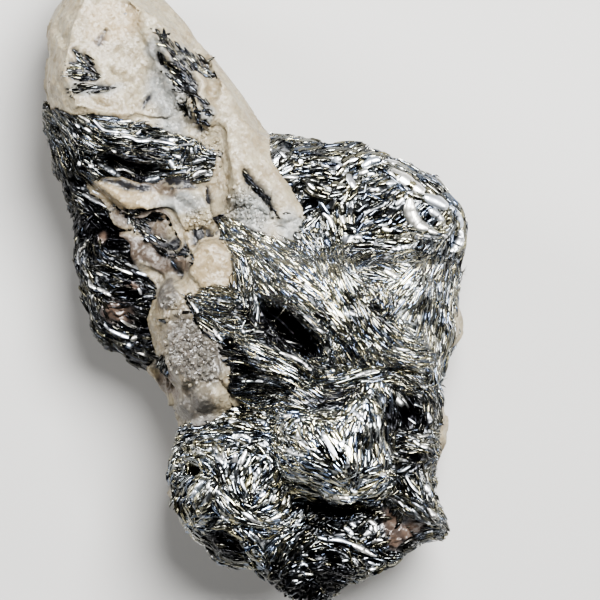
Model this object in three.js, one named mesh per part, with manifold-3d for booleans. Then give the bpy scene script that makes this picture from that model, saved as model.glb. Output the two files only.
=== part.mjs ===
// A hand specimen of milky quartz that carries masses of flaky specular hematite.
// It lies on its back: +X is the specimen's right, +Y its upper end, +Z the side that is looked at.
// Plan positions are [x, y] in millimetres from the lower left corner of the specimen's outline,
// and heights are millimetres above the surface that it lies on.
import * as THREE from 'three';
import { ImprovedNoise } from 'three/addons/math/ImprovedNoise.js';
import { ConvexGeometry } from 'three/addons/geometries/ConvexGeometry.js';
import { mergeVertices } from 'three/addons/utils/BufferGeometryUtils.js';
import Module from 'manifold-3d';

const wasm = await Module();
wasm.setup();

// ---- driving dimensions ----
const GAP = 0.35; // clear space between a mass and what it grew against
const SIDES = 32; // points round a hematite mass
const TOP_RINGS = 5; // rings from a mass's crown to its rim
const UNDER_RINGS = 3; // rings from its rim to its lowest point
const RELIEF = 1.5; // how far the lumps on a mass rise or sink
const LUMP = 3.6; // distance between two lumps
const HOLLOW_SIDES = 10; // points round a hollow

const HEMATITE = { color: 0x4a4d52, roughness: 0.3, metalness: 0.9 };
const QUARTZ = { color: 0xcfc4b8, roughness: 0.45, metalness: 0 };

// ---- solids ----
function solidOf(geometry) {
  geometry.deleteAttribute('normal');
  geometry.deleteAttribute('uv');
  const merged = mergeVertices(geometry, 1e-4);
  return new wasm.Manifold(new wasm.Mesh({
    numProp: 3,
    vertProperties: new Float32Array(merged.attributes.position.array),
    triVerts: new Uint32Array(merged.index.array),
  }));
}

function geometryOf(solid) {
  const mesh = solid.getMesh();
  const geometry = new THREE.BufferGeometry();
  geometry.setAttribute('position', new THREE.BufferAttribute(mesh.vertProperties, 3));
  geometry.setIndex(new THREE.BufferAttribute(mesh.triVerts, 1));
  return geometry;
}

// The largest body of a solid, without the crumbs that a cut can leave beside it.
function largestBody(solid) {
  const bodies = solid.decompose();
  bodies.sort((a, b) => b.volume() - a.volume());
  return bodies[0];
}

// ---- hematite ----
// A rounded mass: its rim follows a closed curve, clockwise from above, through the outline at one
// height, its top swells to the crown and its underside to the bottom. Fullness 2 makes a dome,
// more makes a flatter top with steeper sides. Grow makes it larger all round, to cut what it grew
// against.
const noise = new ImprovedNoise();

function massBody({ outline, peak, rim, crown, bottom, fullness = 3 }, grow) {
  const corners = outline.map(([x, y]) => new THREE.Vector3(x, y, 0));
  const rimCurve = new THREE.CatmullRomCurve3(corners, true, 'centripetal');
  const rimPoints = rimCurve.getSpacedPoints(SIDES).slice(0, SIDES);
  const positions = [];
  const addPoint = (rimPoint, turn, height) => {
    const out = Math.abs(Math.sin(turn)) ** (2 / fullness);
    const up = Math.abs(Math.cos(turn)) ** (2 / fullness) * Math.sign(height);
    const reach = new THREE.Vector3(rimPoint.x - peak[0], rimPoint.y - peak[1], 0);
    const away = reach.clone().normalize().multiplyScalar(out);
    away.z = up;
    const point = new THREE.Vector3(peak[0], peak[1], rim).addScaledVector(reach, out);
    point.z += Math.abs(height) * up;
    const lump = noise.noise(point.x / LUMP, point.y / LUMP, point.z / LUMP);
    point.addScaledVector(away, RELIEF * lump + grow);
    positions.push(point.x, point.y, point.z);
  };
  addPoint(rimPoints[0], 0, crown - rim);
  for (let ring = 1; ring <= TOP_RINGS; ring++) {
    const turn = (Math.PI / 2) * (ring / TOP_RINGS);
    rimPoints.forEach((rimPoint) => addPoint(rimPoint, turn, crown - rim));
  }
  for (let ring = UNDER_RINGS - 1; ring >= 1; ring--) {
    const turn = (Math.PI / 2) * (ring / UNDER_RINGS);
    rimPoints.forEach((rimPoint) => addPoint(rimPoint, turn, bottom - rim));
  }
  addPoint(rimPoints[0], 0, bottom - rim);

  const ringCount = TOP_RINGS + UNDER_RINGS - 1;
  const lowest = 1 + (ringCount - 1) * SIDES;
  const last = ringCount * SIDES + 1;
  const triangles = [];
  for (let side = 0; side < SIDES; side++) {
    const next = (side + 1) % SIDES;
    triangles.push(0, 1 + next, 1 + side);
    for (let here = 1; here < lowest; here += SIDES) {
      const below = here + SIDES;
      triangles.push(here + side, below + next, below + side);
      triangles.push(here + side, here + next, below + next);
    }
    triangles.push(lowest + side, lowest + next, last);
  }
  const geometry = new THREE.BufferGeometry();
  geometry.setAttribute('position', new THREE.Float32BufferAttribute(positions, 3));
  geometry.setIndex(triangles);
  return solidOf(geometry);
}

// An open hollow in a mass: a stretched ball, turned about the upright axis.
function hollowBody({ centre, radii, turn = 0 }) {
  const geometry = new THREE.SphereGeometry(1, HOLLOW_SIDES, HOLLOW_SIDES / 2);
  geometry.rotateX(Math.PI / 2);
  geometry.scale(...radii);
  geometry.rotateZ(THREE.MathUtils.degToRad(turn));
  geometry.translate(...centre);
  return solidOf(geometry);
}

function hematiteMass(mass) {
  const hollows = (mass.hollows ?? []).map(hollowBody);
  return hollows.reduce((left, hollow) => left.subtract(hollow), massBody(mass, 0));
}

// Each mass in the order of growth: an earlier one lies over the later ones and cuts them.
const masses = {
  hematite_main_fan: {
    outline: [
      [17.8, 38.4], [20.5, 37.6], [24, 36], [27.6, 35], [31, 35.6], [35, 35.6], [39.4, 34.8],
      [41.4, 33], [41.6, 31.2], [41, 29.4], [40.8, 27.4], [40.8, 25.4], [40.4, 23], [39.8, 20.8],
      [37, 21.2], [34.6, 21.8], [32, 21.2], [29, 20], [26, 19.6], [22.6, 19.2], [19.4, 19.6],
      [18.8, 22.5], [17.4, 25.2], [15.6, 27.6], [14.6, 30], [16.6, 31.2], [19.2, 31], [19.2, 34.4],
    ],
    peak: [30, 28.5],
    rim: 10,
    crown: 25.6,
    bottom: 4,
    hollows: [
      { centre: [25, 26.8, 24], radii: [4.8, 2, 6], turn: -40 },
      { centre: [34, 29.2, 26], radii: [2.6, 0.8, 4], turn: -45 },
    ],
  },
  hematite_centre_shell: {
    outline: [
      [23.2, 18.8], [26, 19.5], [28.6, 19.2], [30.6, 19.8], [32, 21.2], [34, 21.6], [35.2, 20],
      [35.2, 17.5], [35.4, 15], [35, 12.6], [33.8, 10.8], [31, 9.9], [28, 10.3], [25.2, 11.2],
      [23.8, 12.6], [24.2, 13.8], [23.2, 15.2], [22.9, 17],
    ],
    peak: [30.5, 16.4],
    rim: 17,
    crown: 27.48,
    bottom: 6,
  },
  hematite_lower_rosette: {
    outline: [
      [14, 16.8], [17, 18], [19.6, 19.6], [23, 19.6], [25, 17], [26, 13.5], [26.6, 10.6],
      [26.6, 8], [24.8, 5.5], [22.4, 3.4], [20, 3], [18.2, 3.2], [16.2, 5.2], [14.6, 7.2],
      [13.6, 9.4], [13.4, 12], [13.7, 14.6],
    ],
    peak: [19.6, 12],
    rim: 11,
    crown: 23.4,
    bottom: 3.5,
    fullness: 2.5,
    hollows: [{ centre: [15.4, 13, 20], radii: [1.6, 1.2, 5], turn: 40 }],
  },
  hematite_right_wing: {
    outline: [
      [34, 22.4], [37, 22], [39.6, 21.4], [39.9, 19.4], [39.6, 17.4], [39.4, 15.4], [39.3, 13.2],
      [38.9, 11], [39.8, 8.8],
      [40.4, 6.6], [38.6, 5.9], [36, 7], [34, 11], [34, 15.6],
    ],
    peak: [37.8, 13.2],
    rim: 12,
    crown: 21.4,
    bottom: 5,
    fullness: 2.6,
  },
  hematite_bottom_mass: {
    outline: [
      [21, 3.6], [23, 8], [26, 12], [29, 13], [33, 13.6], [37, 13], [38.4, 9.4], [38.4, 6],
      [36.2, 4.6], [34, 3.2], [31, 1.5], [28.2, 0], [26, 0.3], [23.4, 1.8],
    ],
    peak: [31, 6.4],
    rim: 9.5,
    crown: 18.6,
    bottom: 3.5,
    hollows: [{ centre: [29.5, 9.3, 18], radii: [4.8, 1.7, 8], turn: -6 }],
  },
  hematite_upper_lobe: {
    outline: [
      [21, 46.4], [25.2, 46.3], [28, 45.4], [31, 45], [34, 44.5], [36.8, 43.4], [39.6, 41.8],
      [41.6, 39.8], [42.6, 37.4], [42.1, 35.2], [41.2, 33.4], [39, 31], [35, 30.6], [31, 31],
      [27, 34], [25, 37], [22.6, 39.4], [20.8, 42], [19.4, 44.6],
    ],
    peak: [33, 38.4],
    rim: 11,
    crown: 20,
    bottom: 3,
    fullness: 3.2,
  },
  hematite_left_mass: {
    outline: [
      [2.4, 43], [5.4, 42.6], [7.4, 39.4], [9.6, 37.6], [10.4, 34.6], [12, 32.2], [12.8, 30],
      [13.4, 26], [12.2, 24], [9.5, 23.9], [7, 25.1], [5.7, 27.3], [4.8, 30], [3.8, 32],
      [3.2, 33.9], [3.7, 35.6], [3.4, 37.5], [2.8, 40],
    ],
    peak: [7.8, 33],
    rim: 9,
    crown: 16.2,
    bottom: 4,
    fullness: 2.6,
  },
  hematite_upper_band: {
    outline: [
      [0.4, 49.5], [3.5, 51.4], [6, 51], [8.6, 49.6], [10.8, 48.8], [12.2, 47.4], [14, 46.6],
      [16.8, 46.4], [18.2, 45], [18, 43], [16.6, 42], [14.4, 42.2], [12.6, 42], [10.4, 40.8],
      [8, 41.4], [5, 42.4], [1.6, 43], [0.6, 46.6],
    ],
    peak: [8.8, 45.4],
    rim: 12,
    crown: 20,
    bottom: 6,
    hollows: [{ centre: [9.2, 43.2, 20], radii: [5.4, 1.1, 3.4], turn: -12 }],
  },
  hematite_upper_seam: {
    outline: [
      [11.4, 57], [12.8, 56.4], [14.2, 54.6], [15.6, 52.2], [16.8, 49.8], [18, 47.6], [17.2, 46.8],
      [15.6, 48.4], [14.4, 50.6], [13, 53], [11.8, 55.2],
    ],
    peak: [14.7, 51.8],
    rim: 17.5,
    crown: 21.8,
    bottom: 13,
  },
};

// ---- quartz ----
// A block of quartz with flat faces: the outline at the two middle levels, drawn in towards its
// middle at the lowest and highest level. Lean is the rise of its top face along X and along Y.
function quartzBlock({ outline, levels, inset, lean = [0, 0] }) {
  const sum = outline.reduce(([sumX, sumY], [x, y]) => [sumX + x, sumY + y], [0, 0]);
  const centre = new THREE.Vector2(...sum).divideScalar(outline.length);
  const insets = [inset[0], 0, 0, inset[1]];
  const points = [];
  levels.forEach((level, index) => {
    outline.forEach(([x, y]) => {
      const place = new THREE.Vector2(x, y);
      const inward = centre.clone().sub(place);
      place.addScaledVector(inward, insets[index] / inward.length());
      const rise = index < 2 ? 0 : lean[0] * (x - centre.x) + lean[1] * (y - centre.y);
      points.push(new THREE.Vector3(place.x, place.y, level + rise));
    });
  });
  return solidOf(new ConvexGeometry(points));
}

const quartzBlocks = {
  prongHead: {
    outline: [
      [0, 51], [0.6, 58], [3.2, 63.2], [6, 65], [8.2, 64.1], [11.6, 61], [14.4, 58],
      [17.2, 54.2], [19, 47], [12, 45.6], [2, 47],
    ],
    levels: [1, 7, 15, 20],
    inset: [3.5, 2.6],
    lean: [-0.08, -0.06],
  },
  prongRidge: {
    outline: [[7.6, 61.8], [10.9, 60.4], [15.7, 55.4], [18.6, 50], [15.4, 47], [9.6, 52]],
    levels: [4, 9, 17.4, 21],
    inset: [1, 2.4],
    lean: [0.05, -0.06],
  },
  prongSkirt: {
    outline: [[11.3, 49.7], [13.1, 51.2], [16.7, 50.3], [19.1, 47.7], [19.3, 44.1], [12.5, 45.3]],
    levels: [4.5, 9.5, 17.2, 19.1],
    inset: [1, 0.8],
    lean: [0.05, 0.03],
  },
  prongNeck: {
    outline: [
      [16, 52], [16.9, 54.9], [20, 50.9], [22.2, 47.5], [23.6, 45.6], [26.2, 40.6], [28.8, 35.8],
      [26, 34.8], [22, 36], [18.2, 37.6], [17.3, 42.5],
    ],
    levels: [1, 8, 15.8, 21],
    inset: [3, 3.2],
    lean: [-0.2, -0.1],
  },
  neckStep: {
    outline: [[19, 49], [21.6, 48.2], [24.2, 44.6], [26.2, 40.4], [23, 39], [19, 43]],
    levels: [6, 10, 17.6, 20],
    inset: [1, 1.2],
    lean: [-0.2, -0.05],
  },
  prongBlade: {
    outline: [[4.8, 42], [6.4, 43], [9.4, 42], [12.8, 41.6], [13.2, 38.6], [9.2, 37.8], [6.6, 40]],
    levels: [6, 11, 16.4, 18.4],
    inset: [0.5, 0.9],
    lean: [0.12, -0.1],
  },
  middleBlock: {
    outline: [
      [12.4, 42.2], [14.5, 42.8], [17, 41.8], [18.2, 39.4], [18.7, 37.4], [16.2, 35.9], [14, 35.4],
      [12.6, 37.4], [12, 39],
    ],
    levels: [2, 9, 17.4, 19.4],
    inset: [1, 1.2],
    lean: [0.06, 0.05],
  },
  leftBlock: {
    outline: [[7, 37], [10, 37.4], [12, 36.2], [14.4, 35], [15.4, 33], [13.6, 31.6], [10, 32.4], [8.4, 34]],
    levels: [2, 9, 15.2, 17.2],
    inset: [1, 0.9],
    lean: [0.1, 0.04],
  },
  tanBlock: {
    outline: [
      [14.2, 35], [15.6, 36.2], [18, 36.6], [19.8, 35.2], [20.2, 31], [18.8, 29.2], [16.4, 29.8],
      [14.2, 31.8],
    ],
    levels: [2, 9, 18.4, 20.6],
    inset: [1, 1],
    lean: [0.08, 0.06],
  },
  columnUpper: {
    outline: [
      [11.7, 31.8], [13.2, 32.8], [14.8, 31.4], [15.8, 29.2], [17.6, 26.4], [18.8, 24.2],
      [19.2, 20.8], [14, 20], [12, 22.6], [10.6, 28],
    ],
    levels: [1, 8, 17.4, 20.8],
    inset: [1.5, 1.6],
    lean: [0.12, -0.04],
  },
  columnFoot: {
    outline: [
      [12.2, 21], [14.9, 23.1], [19, 22.4], [19.2, 19.2], [17.6, 17], [15.4, 16.4], [14, 17],
      [12.8, 19],
    ],
    levels: [2, 8, 15.2, 18.8],
    inset: [1.2, 1.8],
    lean: [0.08, 0.05],
  },
  rightKnob: {
    outline: [[36, 24], [36, 31], [41.8, 29.8], [42.9, 28.2], [42.6, 26.4], [41.4, 25.2]],
    levels: [2, 7, 13, 15],
    inset: [1.5, 1],
  },
  rightLowKnob: {
    outline: [[35, 12], [35, 21], [40, 20.4], [41.1, 18], [40.9, 15.4], [39.6, 13]],
    levels: [2, 6, 10.5, 12.5],
    inset: [1.5, 1],
  },
  leftLowKnob: {
    outline: [[17, 16], [17, 7], [14, 8], [12.5, 10.4], [12.5, 13.4], [13.6, 15.2]],
    levels: [2, 6, 10, 12.5],
    inset: [1.5, 1],
  },
  bottomKnob: {
    outline: [[25, 8], [31, 8], [30.4, 1.8], [29.4, 0.1], [28, 0], [26.4, 1.4]],
    levels: [1.5, 4, 7.5, 9.5],
    inset: [1.5, 0.8],
  },
  upperBack: {
    outline: [
      [3, 40], [1.4, 52], [4, 60], [9, 62], [15.6, 55.4], [20.6, 47], [26, 38], [22, 28], [9, 28],
    ],
    levels: [0, 3.4, 11, 15],
    inset: [3, 2],
  },
  middleBack: {
    outline: [
      [7.4, 27], [6, 34], [12, 42], [22, 44], [33, 43], [39.6, 37.6], [40.4, 27], [38, 17],
      [20, 14], [13.4, 19],
    ],
    levels: [0, 3.4, 10, 14],
    inset: [3, 2.5],
  },
  lowerBack: {
    outline: [
      [14, 8.6], [13.8, 17], [18, 26], [36, 26], [39.2, 16], [38.8, 8.4], [35, 4.6], [30, 2.2],
      [22, 4],
    ],
    levels: [0, 3, 9, 13],
    inset: [3, 2.5],
  },
};

// ---- growing the pieces against each other ----
const solids = {};
const cutters = [];
for (const [name, mass] of Object.entries(masses)) {
  const grown = cutters.reduce((left, cutter) => left.subtract(cutter), hematiteMass(mass));
  solids[name] = largestBody(grown);
  cutters.push(massBody(mass, GAP));
}
const matrix = Object.values(quartzBlocks).map(quartzBlock).reduce((sum, block) => sum.add(block));
solids.quartz_matrix = largestBody(cutters.reduce((left, cutter) => left.subtract(cutter), matrix));

// ---- the specimen ----
const specimen = new THREE.Group();
for (const [name, solid] of Object.entries(solids)) {
  const look = name === 'quartz_matrix' ? QUARTZ : HEMATITE;
  const mesh = new THREE.Mesh(geometryOf(solid), new THREE.MeshStandardMaterial(look));
  mesh.name = name;
  specimen.add(mesh);
}

// The origin is under the middle of the specimen, on the surface that it lies on.
const box = new THREE.Box3().setFromObject(specimen);
const middle = box.getCenter(new THREE.Vector3());
specimen.position.set(-middle.x, -middle.y, -box.min.z);

export default specimen;
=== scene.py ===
# %% [markdown]
# # Quartz with specular hematite
# This lesson dresses a plain faceted model of a mineral specimen: a milky quartz prong that carries
# rounded masses of specular hematite. The faceted model is a fixed frame. It says where each mass is
# and about how far it reaches. The pieces made here stay inside the box of the whole frame, but a
# mass may stand a little outside its own solid, most where it closes a gap to its neighbour.

# %% Load the frame
import math

import bmesh
import bpy
import numpy as np
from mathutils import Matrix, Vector
from mathutils.bvhtree import BVHTree


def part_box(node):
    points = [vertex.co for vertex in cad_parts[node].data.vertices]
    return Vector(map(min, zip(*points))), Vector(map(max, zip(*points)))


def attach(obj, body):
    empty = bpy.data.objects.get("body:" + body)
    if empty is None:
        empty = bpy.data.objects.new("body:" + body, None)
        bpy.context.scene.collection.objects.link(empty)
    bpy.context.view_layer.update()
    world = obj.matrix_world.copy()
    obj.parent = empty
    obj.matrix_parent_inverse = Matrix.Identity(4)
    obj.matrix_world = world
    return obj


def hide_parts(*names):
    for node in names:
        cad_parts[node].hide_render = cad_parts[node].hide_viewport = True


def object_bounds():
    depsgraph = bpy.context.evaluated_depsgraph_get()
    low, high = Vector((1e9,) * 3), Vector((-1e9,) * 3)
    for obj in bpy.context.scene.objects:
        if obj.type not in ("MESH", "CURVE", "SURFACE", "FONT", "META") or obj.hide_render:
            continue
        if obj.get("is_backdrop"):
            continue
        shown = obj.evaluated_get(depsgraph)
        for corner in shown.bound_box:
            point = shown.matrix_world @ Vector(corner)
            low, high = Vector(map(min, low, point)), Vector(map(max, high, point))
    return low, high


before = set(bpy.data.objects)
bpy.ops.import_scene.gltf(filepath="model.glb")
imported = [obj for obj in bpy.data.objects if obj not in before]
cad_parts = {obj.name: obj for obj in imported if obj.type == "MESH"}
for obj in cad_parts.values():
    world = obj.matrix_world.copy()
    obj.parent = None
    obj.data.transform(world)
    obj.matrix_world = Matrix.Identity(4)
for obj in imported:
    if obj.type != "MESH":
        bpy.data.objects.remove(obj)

cad_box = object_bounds()
MM = 0.001
UP = np.array([0.0, 0.0, 1.0])
print("frame:", len(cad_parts), "nodes,", [round((hi - lo) / MM, 1) for lo, hi in zip(*cad_box)], "mm")

# %% [markdown]
# Places on the specimen are given as a map reference: millimetres to the right of and above the
# lower left corner of the quartz, seen from above. The corner comes from the frame, so the
# references stay right if the frame is moved.

# %% Map references
corner = np.array(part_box("quartz_matrix")[0][:2])


def on_map(points):
    """Rows that start with (right, up) in millimetres as level places in the scene, in metres."""
    return np.array([row[:2] for row in points], float) * MM + corner


# %% [markdown]
# ## Noise
# A lump, a fracture or a patch of colour starts from noise: numbers that wander smoothly with place.
# This one gives every whole step of a grid its own number and blends between them, so that the same
# place always gets the same value.

# %% Smooth noise
def lattice_number(cell, seed):
    """A number from -1 to 1 that belongs to a whole-numbered cell."""
    x, y, z = cell[..., 0], cell[..., 1], cell[..., 2]
    mixed = (x * 73856093) ^ (y * 19349663) ^ (z * 83492791) ^ (seed * 2654435761)
    mixed = (mixed ^ (mixed >> 13)) * 1274126177
    return ((mixed ^ (mixed >> 16)) & 0xFFFF) / 32767.5 - 1


def smooth_noise(places, size, seed=0):
    """Noise from -1 to 1 at rows of places, with lumps about this size."""
    spot = places / size + 1000
    cell = np.floor(spot).astype(np.int64)
    part = spot - cell
    part = part * part * (3 - 2 * part)
    total = np.zeros(len(places))
    for step in np.ndindex(2, 2, 2):
        share = np.prod(np.where(step, part, 1 - part), axis=1)
        total += share * lattice_number(cell + np.array(step), seed)
    return total


def rough_noise(places, size, seed=0, octaves=3):
    """Noise with finer lumps on the coarse ones."""
    return sum(smooth_noise(places, size / 2**i, seed + i) / 2**i for i in range(octaves))


def cell_facets(places, size, seed=0):
    """Heights of tilted flat facets, one for each cell of an uneven honeycomb, in metres."""
    spot = places / size + 1000
    cell = np.floor(spot).astype(np.int64)
    best = np.full(len(places), 9.0)
    height = np.zeros(len(places))
    for step in np.ndindex(3, 3, 3):
        near = cell + np.array(step) - 1
        jitter = np.stack([lattice_number(near, seed + k) for k in (1, 2, 3)], 1)
        away = spot - (near + 0.5 + 0.45 * jitter)
        apart = (away**2).sum(1)
        tilt = np.stack([lattice_number(near, seed + k) for k in (4, 5, 6)], 1)
        here = (away * tilt).sum(1) + 0.3 * lattice_number(near, seed + 7)
        height = np.where(apart < best, here, height)
        best = np.minimum(best, apart)
    return height * size


# %% [markdown]
# ## The grain of the hematite
# Specular hematite is a felt of thin bright flakes, and the flakes of a mass run together like
# combed hair. The comb is a list of strokes for each mass: where the stroke is, which way it
# runs, in degrees from the right, and how bright the flakes are there, from 0 for dark to 1. That
# brightness is the flakes' own tone with painted light and shade in it: the darkest strokes lie in
# hollows and under edges, where the mass is in shadow.
# A ledge is the broken edge of a layer: how far the surface drops beyond it, how wide the drop is,
# and its points, walked with the drop on the right. A hollow is a pit: its middle, its two radii,
# its turn and its depth. A rim is the polished edge of one big plate: its width and its points.
# Earth is a patch of brown crust: its middle, its two radii and its turn.

# %% [markdown]
# ### The fan
# The fan in the middle is the largest mass: fine flakes that spread from one side like a folding
# fan, over a cave. It could be a bumpy surface with a brushed finish, but that has no real edges to
# catch the light. So its grain is listed here, and two sets of flakes are combed along it later,
# blades and slender needles.
# Beside its lists a mass has a few numbers. Fold is the size of its ridges, and the number after it
# scales its brightness, which holds painted shade where a mass lies in shadow. The next one is the
# least brightness between the ridges, whose darker colour there is painted shade, and relief is how
# high they are. A mound is a swelling, written like a hollow. Rim_shine is the range of brightness
# of its rims.

# %% The fan
masses = {}
masses["main_fan"] = dict(fold=0.62, brightness_scale=1.0, strokes=[
    (19, 36.6, -48, 1), (21, 35.6, -40, 1), (23, 34.5, -40, 1), (25, 33, -42, 1),
    (27, 31.2, -42, 0.9), (23, 32.5, -45, 0.9), (25, 30.6, -42, 0.9), (27, 28.6, -45, 0.9),
    (28.3, 27, -50, 1), (29.2, 25.6, -58, 0.9), (20.5, 33, -80, 0.7), (20.6, 31.5, -85, 0.5),
    (21.5, 30, 90, 0.35), (21.7, 28.4, 88, 0.25), (22.6, 31.4, -60, 0.7), (23.6, 30, -50, 0.6),
    (24.6, 29, -45, 0.35), (23, 28, -20, 0.04), (25, 27.4, -20, 0.03), (26.6, 27, -30, 0.03),
    (28, 26, -50, 0.05), (24, 26.4, -20, 0.15), (27.4, 24.6, -60, 0.12), (18, 29.3, -20, 0.5),
    (19.3, 29.6, -10, 0.5), (18, 28.3, -10, 0.45), (19.5, 28, 0, 0.6), (18.4, 27.2, -35, 0.8),
    (20.5, 26.9, 0, 0.8), (22, 26.8, 0, 0.5), (20.4, 29.2, -90, 0.04), (19.4, 25.4, -10, 0.04),
    (21, 25.2, -25, 0.9), (22.2, 24.6, -25, 1), (23.6, 24, -25, 0.8), (24.6, 24.4, -28, 0.8),
    (25.8, 24, -35, 0.8), (26.8, 23, -45, 0.7), (22, 23.7, -15, 0.6), (24, 23, -25, 0.9),
    (25.2, 22.6, -35, 0.8), (26.4, 22, -45, 0.7), (27.6, 21.6, -45, 0.8), (28.2, 22.9, 10, 0.9),
    (19.5, 24, -5, 0.3), (20, 23, 0, 0.2), (21, 21.5, 0, 0.5), (22.6, 21.6, -10, 0.5),
    (24.4, 21.4, -25, 0.3), (19.4, 21.8, 20, 0.4), (25.5, 20.8, -40, 0.4), (27, 20.2, -30, 0.4),
    (21, 20.2, -10, 0.5), (23.4, 20.2, 15, 0.4), (28.5, 33, -70, 1), (29.5, 31.5, -68, 1),
    (30.5, 33, -75, 0.9), (30, 29.5, -66, 1), (31, 27.5, -64, 1), (29.8, 26.8, -60, 0.9),
    (30.5, 25, -65, 0.8), (31.5, 25.5, -62, 0.9), (32.5, 26.5, -55, 1), (32.2, 29, -65, 0.9),
    (31.5, 31, -65, 0.9), (33, 31.6, -60, 0.8), (33, 24.8, -55, 0.9), (34.2, 24.2, -45, 0.9),
    (35.2, 24.4, -35, 0.9), (32, 24, -60, 0.7), (34.8, 30.5, 40, 1), (35.5, 31.6, 45, 1),
    (36, 29.5, 50, 1), (36.8, 28.2, 60, 1), (37.2, 30.6, 55, 1), (36.6, 32.2, 50, 0.9),
    (35.2, 29, 40, 0.9), (34.6, 27.3, -55, 0.7), (35.6, 26.6, -40, 0.8), (36.8, 26, -15, 0.9),
    (35.6, 25.3, 0, 1), (37.2, 25.1, 5, 0.9), (37.7, 27, 70, 0.9), (38.3, 31.5, 80, 0.7),
    (39, 30, 82, 0.7), (40, 31.4, 80, 0.6), (40, 28, 85, 0.7), (38.4, 28.5, 78, 0.7),
    (39.2, 26, 88, 0.7), (40.2, 25.5, 80, 0.8), (39.4, 23.4, -85, 0.8), (39.3, 21.6, 85, 0.8),
    (38.3, 24.4, 0, 0.8), (30, 22.7, 20, 0.9), (31.6, 22.6, 22, 1), (29, 22, 20, 0.9),
    (33, 23.1, 12, 1), (34.6, 23.4, 8, 1), (36, 23.1, -15, 0.9), (37.5, 22.9, -10, 0.9),
    (36.6, 21.8, -45, 0.8), (38.4, 20.9, -45, 0.8), (30.5, 34.2, 65, 0.5), (31.6, 33.8, 50, 0.5),
    (32.6, 33.6, 45, 0.4), (33.4, 33.6, 30, 0.4), (35.8, 34.2, 30, 0.4), (37.6, 34, 60, 0.6),
    (39.4, 34, 60, 0.6), (27.2, 34.2, -50, 0.3), (26.2, 33.4, -40, 1), (40.8, 33, 60, 0.5),
], ledges=[
    (1.8, 1.6, [(27.4, 21.2), (29.4, 21.3), (31, 21.9), (32.5, 22.5), (34, 23), (36.2, 23.1)]),
    (1.2, 1.6, [(29.5, 24.2), (29, 25.6), (27.8, 27), (26.4, 28.2), (24.6, 29.4), (22.6, 30.6)]),
    (0.9, 0.5, [(36.4, 26.8), (35.2, 27.4), (34.2, 28.4), (33.6, 29.4), (33, 30.4)]),
    (0.7, 0.45, [(28, 30.2), (26.6, 31), (25.2, 32)]),
    (0.7, 0.4, [(29.3, 27.9), (28.6, 28.8), (28, 29.6)]),
    (0.7, 0.45, [(21.5, 34.9), (20, 35.5), (18.8, 36.6)]),
    (0.8, 0.6, [(20.8, 24.9), (22, 24.3), (23.4, 23.7), (24.6, 23.2)]),
    (0.7, 0.5, [(22.6, 23.2), (24, 22.7), (25.4, 22), (26.6, 21.2)]),
    (0.8, 0.5, [(32, 32.7), (32.8, 32.3), (33.6, 32.3)]),
    (0.9, 0.6, [(34.2, 33.7), (35.2, 33.2), (36.2, 32.4)]),
    (0.8, 0.6, [(17.2, 27.6), (18.2, 26.9), (19.2, 26.5), (20.6, 26.6)]),
], hollows=[
    (25.4, 27, 3.6, 1.3, -42, 0.8), (20.4, 28.9, 0.4, 1.4, 0, 1), (19.3, 25.4, 1.3, 0.6, -10, 1.2),
    (27.6, 24.9, 0.6, 1.3, -20, 0.6), (20.3, 23.1, 1.3, 0.5, 0, 0.7), (21.9, 22.4, 1.2, 0.4, 0, 0.6),
    (38.6, 22.2, 1.2, 0.3, -45, 0.6),
], mounds=[
    (25.6, 27.2, 3.4, 2.2, -42, 2.4),
], rims=[
    (0.5, [(28.2, 21), (29.4, 21.5), (31, 22.2), (32.5, 22.8), (34, 23.2), (35.8, 23.4)]),
    (0.4, [(27.9, 21.7), (29, 22), (30, 22.4)]), (0.4, [(28.1, 22.9), (29.2, 23), (30, 23.4)]),
    (0.5, [(17.4, 27.2), (17.8, 26.6), (18.3, 25.9)]), (0.4, [(15.1, 29.8), (15.6, 29.2), (15.9, 28.6)]),
    (0.4, [(15.5, 28.3), (16.1, 27.6), (16.5, 26.8)]), (0.35, [(18, 27.2), (19, 26.9), (20, 26.9)]),
    (0.3, [(20.6, 26.9), (21.6, 26.9), (22.4, 26.8)]), (0.3, [(17.4, 28), (18.4, 28.1), (19.6, 27.8)]),
    (0.45, [(20.4, 25.7), (21.4, 25.3), (22.4, 24.9)]), (0.4, [(21.4, 24.3), (22.6, 24.1), (23.6, 23.8)]),
    (0.4, [(24, 24.8), (25.2, 24.4), (26.4, 23.7), (27.2, 22.9)]),
    (0.3, [(23, 23), (24.4, 22.8), (25.6, 22.3)]), (0.6, [(34.4, 33), (35.2, 32.5), (36.2, 31.9)]),
    (0.5, [(28.6, 25.6), (28.7, 25)]), (0.3, [(39.5, 22.6), (39.5, 21.8), (39.7, 21.2)]),
    (0.35, [(36.6, 22.4), (37.6, 21.4), (38.6, 20.6)]), (0.3, [(37.4, 22.2), (38.2, 21.4), (38.9, 20.9)]),
    (0.4, [(35.4, 25.3), (36.4, 25.1), (37.4, 25.2)]), (0.35, [(18.7, 36.9), (19.6, 36), (20.8, 35.4)]),
    (0.3, [(26.4, 28.4), (27.4, 27.5), (28.6, 26.4)]), (0.3, [(19.8, 19.9), (20.8, 20), (21.8, 19.8)]),
    (0.3, [(20.2, 21.9), (21.2, 22), (22.4, 21.9)]), (0.26, [(21.2, 31.2), (21.8, 29.4), (21.6, 27.4)]),
    (0.2, [(22.6, 28.9), (24, 28), (25.4, 26.6)]), (0.16, [(25.6, 28.2), (26.6, 27.2), (27.2, 26.2)]),
    (0.18, [(23.2, 26.8), (24.4, 26), (26, 25.6)]), (0.16, [(19, 26.4), (19.8, 25.8), (20.6, 25.6)]),
], flake=dict(length=3.1, width=0.30, crowd=7.6, packets=18, own=8),
    needles=dict(length=3.4, width=0.17, crowd=7.6, packets=14, own=9))
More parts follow.
